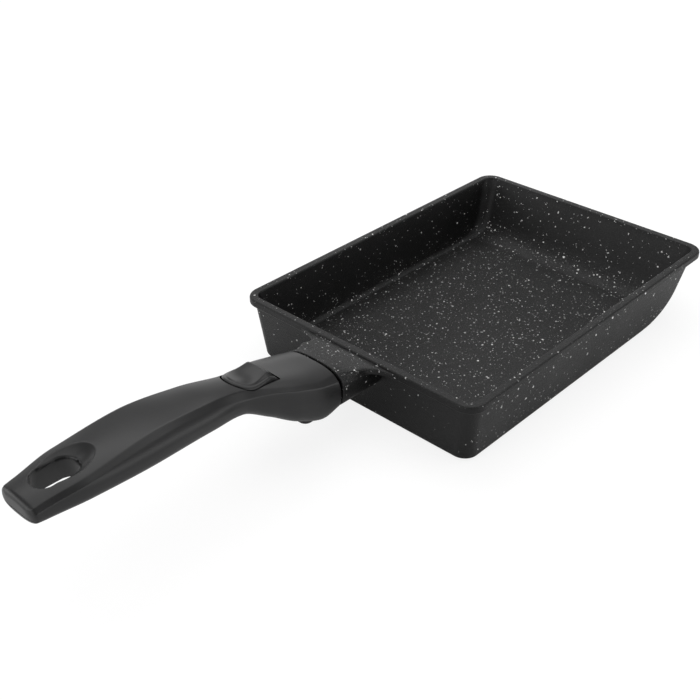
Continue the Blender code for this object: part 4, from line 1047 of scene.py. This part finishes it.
def fleck_layer(tree, place, spacing, size, share, amount):
    """Irregular specks: a share of the cells of a random pattern has a speck of its own size.

    The speck is where the distance from the cell's point is less than size times a random
    number between the least radius and 1, and its brightness is random in the same way.
    """
    cells = node(tree, "TexVoronoi", {"Vector": place, "Scale": 1 / spacing}, feature="F1")
    random = node(tree, "SeparateColor", {0: cells.outputs["Color"]})
    chance, spread, light = random.outputs
    spread = maths(tree, "MULTIPLY_ADD", spread, 1 - FLECK_LEAST_RADIUS, FLECK_LEAST_RADIUS)
    radius = maths(tree, "MULTIPLY", spread, size / spacing)
    inside = maths(tree, "SUBTRACT", radius, cells.outputs["Distance"])
    soft = maths(tree, "MULTIPLY", inside, spacing / FLECK_SOFTNESS, clamp=True)
    chosen = maths(tree, "LESS_THAN", chance, maths(tree, "MULTIPLY", amount, share))
    light = maths(tree, "MULTIPLY_ADD", light, 1 - FLECK_LEAST_LIGHT, FLECK_LEAST_LIGHT)
    return maths(tree, "MULTIPLY", maths(tree, "MULTIPLY", soft, chosen), light)


def coating_material(settings):
    """Satin black coating with a fine grain and white flecks of four sizes.

    The flecks lie on coordinates that a coarse and a fine noise have pulled about, so that
    they get ragged outlines. Where the grain is high it shows as pale dust.
    """
    made, tree, shader, place = surface_material("flecked_coating", COATING_IOR)
    amount = node(tree, "Attribute", attribute_name="fleck").outputs["Fac"]
    moved = place
    for scale, reach in FLECK_PULLS:
        wobble = {0: noise(tree, place, scale).outputs["Color"], 1: (0.5, 0.5, 0.5)}
        pull = node(tree, "VectorMath", wobble, operation="SUBTRACT").outputs[0]
        pull = shaded(tree, pull, reach)
        moved = node(tree, "VectorMath", {0: moved, 1: pull}, operation="ADD").outputs[0]
    total = None
    for spacing, size, share in FLECK_LAYERS:
        layer = fleck_layer(tree, moved, spacing, size, share * settings.fleck_amount, amount)
        total = layer if total is None else maths(tree, "MAXIMUM", total, layer)
    grain = noise(tree, place, GRAIN_SCALE, 3.0, Roughness=0.7).outputs["Fac"]
    cloud = noise(tree, place, CLOUD_SCALE, 3.0).outputs["Fac"]
    above = maths(tree, "SUBTRACT", grain, GRAIN_FLOOR, clamp=True)
    dust = maths(tree, "MULTIPLY", maths(tree, "MULTIPLY", above, amount), GRAIN_LIGHT, clamp=True)
    share = maths(tree, "MAXIMUM", total, dust)
    colour = mixed(tree, share, (*settings.coating_colour, 1.0), (*settings.fleck_colour, 1.0))
    uneven = maths(tree, "MULTIPLY_ADD", grain, 0.5, cloud)
    height = maths(tree, "MULTIPLY_ADD", total, 0.5, grain)
    rough = roughness_of(tree, uneven, COATING_UNEVEN, settings.coating_roughness)
    dress(tree, shader, colour, rough, height, COATING_BUMP)
    return made


def moulding_material(settings):
    """Satin black plastic with a very fine spark-eroded grain."""
    made, tree, shader, place = surface_material("satin_moulding", MOULDING_IOR)
    fine = noise(tree, place, MOULDING_GRAIN_SCALE).outputs["Fac"]
    broad = noise(tree, place, MOULDING_CLOUD_SCALE).outputs["Fac"]
    light = maths(tree, "MULTIPLY_ADD", broad, *MOULDING_LIGHT)
    rough = roughness_of(tree, broad, MOULDING_UNEVEN, settings.moulding_roughness)
    dress(tree, shader, shaded(tree, settings.moulding_colour, light), rough, fine, MOULDING_BUMP)
    return made


def steel_material(name, colour, roughness, stretch):
    """Bare steel with fine drawing lines along the direction that the stretch leaves long."""
    made, tree, shader, place = surface_material(name, STEEL_IOR)
    lines = node(tree, "Mapping", {"Vector": place, "Scale": stretch})
    streak = noise(tree, lines.outputs[0], STEEL_STREAK_SCALE, 3.0).outputs["Fac"]
    shader.inputs["Metallic"].default_value = 1.0
    light = maths(tree, "MULTIPLY_ADD", streak, *STEEL_LIGHT)
    rough = roughness_of(tree, streak, STEEL_UNEVEN, roughness)
    dress(tree, shader, shaded(tree, colour, light), rough, streak, STEEL_BUMP)
    return made


def background_rays(tree, seen, in_gloss):
    """How white the floor or the sky is for rays from the camera or through glass, and in gloss."""
    path = node(tree, "LightPath").outputs
    straight = maths(tree, "MAXIMUM", path["Is Camera Ray"], path["Is Transmission Ray"])
    gloss = maths(tree, "MULTIPLY", path["Is Glossy Ray"], in_gloss)
    return maths(tree, "MAXIMUM", maths(tree, "MULTIPLY", straight, seen), gloss)


def direction(heading, height):
    """Unit vector at a heading from +X towards +Y and a height over the horizon, in radians."""
    level = math.cos(height)
    return Vector((math.cos(heading) * level, math.sin(heading) * level, math.sin(height)))


def fleck_attribute(mesh, amount):
    """Stores how thickly the flecks lie, one number for each vertex."""
    made = mesh.attributes.new("fleck", "FLOAT", "POINT")
    made.data.foreach_set("value", amount.astype(np.float32))


def points_of(mesh):
    """The mesh's vertices as an array."""
    points = np.empty(len(mesh.vertices) * 3, np.float32)
    mesh.vertices.foreach_get("co", points)
    return points.reshape(-1, 3)


class CastingSettings(bpy.types.PropertyGroup):
    """Wall, lip and finish of the pan's casting."""

    wall: FloatProperty(
        name="Wall", description="Thickness of the pan's walls",
        default=0.0024, min=0.001, max=0.006, unit="LENGTH",
    )
    lip_overhang: FloatProperty(
        name="Lip overhang", description="How far the lip stands out from the walls",
        default=0.0022, min=0.0, max=0.005, unit="LENGTH",
    )
    lip_depth: FloatProperty(
        name="Lip depth", description="How deep the lip is, down from the rim",
        default=0.0045, min=0.002, max=0.012, unit="LENGTH",
    )
    coating_colour: FloatVectorProperty(
        name="Coating colour", description="Colour of the coating between its flecks",
        default=(0.0012, 0.0012, 0.0013), min=0.0, max=1.0, subtype="COLOR",
    )
    fleck_colour: FloatVectorProperty(
        name="Fleck colour", description="Colour of the flecks",
        default=(0.92, 0.92, 0.91), min=0.0, max=1.0, subtype="COLOR",
    )
    fleck_amount: FloatProperty(
        name="Fleck amount", description="Share of the places that carry a fleck",
        default=1.0, min=0.0, max=1.6, subtype="FACTOR",
    )
    coating_roughness: FloatProperty(
        name="Coating roughness", description="How dull the coating is",
        default=0.42, min=0.05, max=1.0, subtype="FACTOR",
    )


class HandleSettings(bpy.types.PropertyGroup):
    """Slot, dish, thumb ridge and finish of the handle and the button."""

    slot_length: FloatProperty(
        name="Slot length", description="Length of the hanging slot",
        default=0.0206, min=0.013, max=0.026, unit="LENGTH",
    )
    slot_width: FloatProperty(
        name="Slot width", description="Width of the hanging slot",
        default=0.0127, min=0.006, max=0.015, unit="LENGTH",
    )
    dish_depth: FloatProperty(
        name="Dish depth", description="Depth of the dish round the slot",
        default=0.0034, min=0.001, max=0.005, unit="LENGTH",
    )
    thumb_ridge: FloatProperty(
        name="Thumb ridge", description="Height of the button's ridge over the crown",
        default=0.0043, min=0.001, max=0.0045, unit="LENGTH",
    )
    moulding_colour: FloatVectorProperty(
        name="Moulding colour", description="Colour of the handle and the button",
        default=(0.0075, 0.0075, 0.0078), min=0.0, max=1.0, subtype="COLOR",
    )
    moulding_roughness: FloatProperty(
        name="Moulding roughness", description="How dull the handle is",
        default=0.36, min=0.05, max=1.0, subtype="FACTOR",
    )
    steel_colour: FloatVectorProperty(
        name="Steel colour", description="Colour of the frame, lever, pin and screw",
        default=(0.62, 0.62, 0.60), min=0.0, max=1.0, subtype="COLOR",
    )


class StageSettings(bpy.types.PropertyGroup):
    """Camera, lamps and floor."""

    camera_place: FloatVectorProperty(
        name="Camera", description="Place of the camera",
        default=(-0.422640, -0.297118, 0.320055), unit="LENGTH",
    )
    camera_heading: FloatProperty(
        name="Heading", description="Angle of the view from +X towards +Y",
        default=0.75023, subtype="ANGLE", unit="ROTATION",
    )
    camera_pitch: FloatProperty(
        name="Pitch", description="Angle of the view below the horizon",
        default=0.57897, subtype="ANGLE", unit="ROTATION",
    )
    lens: FloatProperty(
        name="Lens", description="Focal length in millimetres on a 36 mm wide frame",
        default=56.173, min=10.0, max=300.0,
    )
    lamp_gain: FloatProperty(
        name="Lamps", description="Strength of all soft boxes together",
        default=1.0, min=0.0, max=10.0,
    )
    sky: FloatProperty(
        name="Sky", description="Strength of the even light from all round",
        default=0.30, min=0.0, max=4.0,
    )


class CREPEPAN_OT_casting(bpy.types.Operator):
    """Builds the pan with its stub, flange and tongue."""

    bl_idname = "crepe_pan.casting"
    bl_label = "Casting"

    def execute(self, context):
        settings = context.scene.crepe_pan_casting
        rows = pan_profile(settings)
        shell = skin("pan_shell", pan_rings(*rows.T))
        stub, tongue = skin("pan_stub", stub_rings(settings)), skin("pan_tongue", tongue_rings())
        on_top = smoothstep(*STUB_TOP_BAND, points_of(stub)[:, 2])
        finish = coating_material(settings)
        for mesh, amount, angle in (
            (shell, fleck_amounts(points_of(shell), rows), SHARP_ANGLE),
            (stub, FLECKS_ON_STUB + STUB_TOP_GAIN * on_top, SHARP_ANGLE),
            (tongue, np.full(len(tongue.vertices), FLECKS_ON_TONGUE), TONGUE_SHARP_ANGLE),
        ):
            fleck_attribute(mesh, amount)
            piece(mesh.name, mesh, "root", "pan_body", "stone_coating", finish, angle)
        return {"FINISHED"}


class CREPEPAN_OT_handle(bpy.types.Operator):
    """Builds the moulded handle with its socket, well and hanging slot."""

    bl_idname = "crepe_pan.handle"
    bl_label = "Handle"

    def execute(self, context):
        settings = context.scene.crepe_pan_handle
        body = skin("handle_moulding", handle_rings(settings))
        front = SEAM_X - PAD_START
        outline = round_rectangle(front - PAD_LENGTH, front, PAD_HALF_WIDTH, PAD_CORNER)
        pad = prism("pad", outline, PAD_LEVEL, PAD_LEVEL + PAD_HEIGHT)
        body = cut(cut(body, [pad], "UNION"), handle_cutters(settings))
        if len(body.polygons) < LEAST_HANDLE_FACES:
            raise RuntimeError("the handle's cuts left too little of it")
        finish = moulding_material(settings)
        names = ("handle_moulding", body, "root", "handle_body", "black_moulding")
        piece(*names, finish, HANDLE_SHARP_ANGLE)
        return {"FINISHED"}


class CREPEPAN_OT_button(bpy.types.Operator):
    """Builds the release button's cap with the boss under it."""

    bl_idname = "crepe_pan.button"
    bl_label = "Release button"

    def execute(self, context):
        cap = skin("button_cap", button_rings(context.scene.crepe_pan_handle))
        low = PIN_POINT[2] + LEVER_REAR_RISE + LEVER_THICKNESS / 2 + CLEARANCE
        middle = (PIN_POINT[0] - SPRING_BACK, 0.0)
        high = float(crown_level(middle[0])) - BUTTON_SKIRT + BOSS_SINK
        cap = cut(cap, [disc("boss", BOSS_RADIUS, low, high, middle)], "UNION")
        finish = bpy.data.materials["satin_moulding"]
        names = ("button_cap", cap, "release_latch", "release_button", "black_moulding")
        piece(*names, finish, SHARP_ANGLE)
        return {"FINISHED"}


class CREPEPAN_OT_steel(bpy.types.Operator):
    """Gives the frame, lever, pin, screw, washer and spring their steel."""

    bl_idname = "crepe_pan.steel"
    bl_label = "Steel parts"

    def execute(self, context):
        colour = tuple(context.scene.crepe_pan_handle.steel_colour)
        plated = steel_material("zinc_plating", colour, 0.34, (1.0, 0.12, 1.0))
        wire = steel_material("spring_wire", tuple(0.82 * c for c in colour), 0.30, (1.0, 1.0, 0.3))
        finishes = dict.fromkeys(STEEL_NODES, plated) | {"latch_spring": wire}
        for name, finish in finishes.items():
            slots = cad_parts[name].data.materials
            slots.clear()
            slots.append(finish)
        return {"FINISHED"}


class CREPEPAN_OT_stage(bpy.types.Operator):
    """Sets up the floor, the lamps, the sky and the camera."""

    bl_idname = "crepe_pan.stage"
    bl_label = "Stage"

    def execute(self, context):
        settings = context.scene.crepe_pan_stage
        scene = context.scene
        scene.view_settings.view_transform = "Standard"

        corners = [(x * FLOOR_REACH, y * FLOOR_REACH, 0.0) for x, y, _ in QUARTERS]
        floor_mesh = mesh_of("floor", np.array(corners), [np.array(((0, 1, 2, 3),))])
        floor = bpy.data.objects.new("floor", floor_mesh)
        scene.collection.objects.link(floor)
        floor.location.z = -FLOOR_SINK
        white = bpy.data.materials.new("floor_white")
        white.use_nodes = True
        tree = white.node_tree
        tree.nodes.clear()
        plain = node(tree, "BsdfDiffuse", {"Color": (0.80, 0.80, 0.80, 1.0)})
        glow = node(tree, "Emission", {"Color": (1.0, 1.0, 1.0, 1.0), "Strength": FLOOR_WHITE})
        share = background_rays(tree, FLOOR_GLOW_SHARE, FLOOR_GLOSS_SHARE)
        both = node(tree, "MixShader", {0: share, 1: plain.outputs[0], 2: glow.outputs[0]})
        node(tree, "OutputMaterial", {"Surface": both.outputs[0]})
        floor_mesh.materials.append(white)

        world = bpy.data.worlds.new("sky")
        scene.world = world
        world.use_nodes = True
        tree = world.node_tree
        tree.nodes.clear()
        level = maths(tree, "MAXIMUM", background_rays(tree, 1.0, settings.sky), settings.sky)
        even = node(tree, "Background", {"Color": (1.0, 1.0, 1.0, 1.0), "Strength": level})
        node(tree, "OutputWorld", {"Surface": even.outputs[0]})

        for name, heading, height, wide, high, radiance in SOFT_BOXES:
            away = direction(math.radians(heading), math.radians(height))
            lamp = bpy.data.lights.new(name, "AREA")
            lamp.shape = "RECTANGLE"
            lamp.size = 2 * LAMP_DISTANCE * math.tan(math.radians(wide / 2))
            lamp.size_y = 2 * LAMP_DISTANCE * math.tan(math.radians(high / 2))
            area = lamp.size * lamp.size_y
            lamp.energy = settings.lamp_gain * radiance * WATTS_A_SQUARE_METRE * area
            holder = bpy.data.objects.new(name, lamp)
            holder.location = Vector(LAMP_AIM) + away * LAMP_DISTANCE
            holder.rotation_euler = away.to_track_quat("Z", "Y").to_euler()
            holder.visible_camera = False
            scene.collection.objects.link(holder)

        forward = direction(settings.camera_heading, -settings.camera_pitch)
        right = direction(settings.camera_heading - math.pi / 2, 0.0)
        up = right.cross(forward)
        camera = bpy.data.cameras.new("camera")
        camera.sensor_width = SENSOR_WIDTH
        camera.lens = settings.lens
        camera.clip_start, camera.clip_end = CAMERA_REACH
        holder = bpy.data.objects.new("camera", camera)
        turn = Matrix((right, up, -forward)).transposed()
        holder.matrix_world = Matrix.Translation(Vector(settings.camera_place)) @ turn.to_4x4()
        scene.collection.objects.link(holder)
        scene.camera = holder
        return {"FINISHED"}


class CREPEPAN_PT_panel(bpy.types.Panel):
    """Lists the operators and the settings in the sidebar."""

    bl_idname = "CREPEPAN_PT_panel"
    bl_label = "Crepe pan"
    bl_space_type = "VIEW_3D"
    bl_region_type = "UI"
    bl_category = "Crepe pan"

    def draw(self, context):
        for operator in OPERATORS:
            self.layout.operator(operator.bl_idname)
        for name, group in SETTINGS:
            settings = getattr(context.scene, name)
            for key in group.__annotations__:
                self.layout.prop(settings, key)


SETTINGS = (
    ("crepe_pan_casting", CastingSettings),
    ("crepe_pan_handle", HandleSettings),
    ("crepe_pan_stage", StageSettings),
)
OPERATORS = (
    CREPEPAN_OT_casting,
    CREPEPAN_OT_handle,
    CREPEPAN_OT_button,
    CREPEPAN_OT_steel,
    CREPEPAN_OT_stage,
)


def register():
    for name, group in SETTINGS:
        bpy.utils.register_class(group)
        setattr(bpy.types.Scene, name, PointerProperty(type=group))
    for item in (*OPERATORS, CREPEPAN_PT_panel):
        bpy.utils.register_class(item)


def unregister():
    for item in (CREPEPAN_PT_panel, *reversed(OPERATORS)):
        bpy.utils.unregister_class(item)
    for name, group in reversed(SETTINGS):
        delattr(bpy.types.Scene, name)
        bpy.utils.unregister_class(group)


def main():
    register()
    bpy.ops.crepe_pan.casting()
    bpy.ops.crepe_pan.handle()
    bpy.ops.crepe_pan.button()
    bpy.ops.crepe_pan.steel()
    bpy.ops.crepe_pan.stage()


if __name__ == "__main__":
    main()
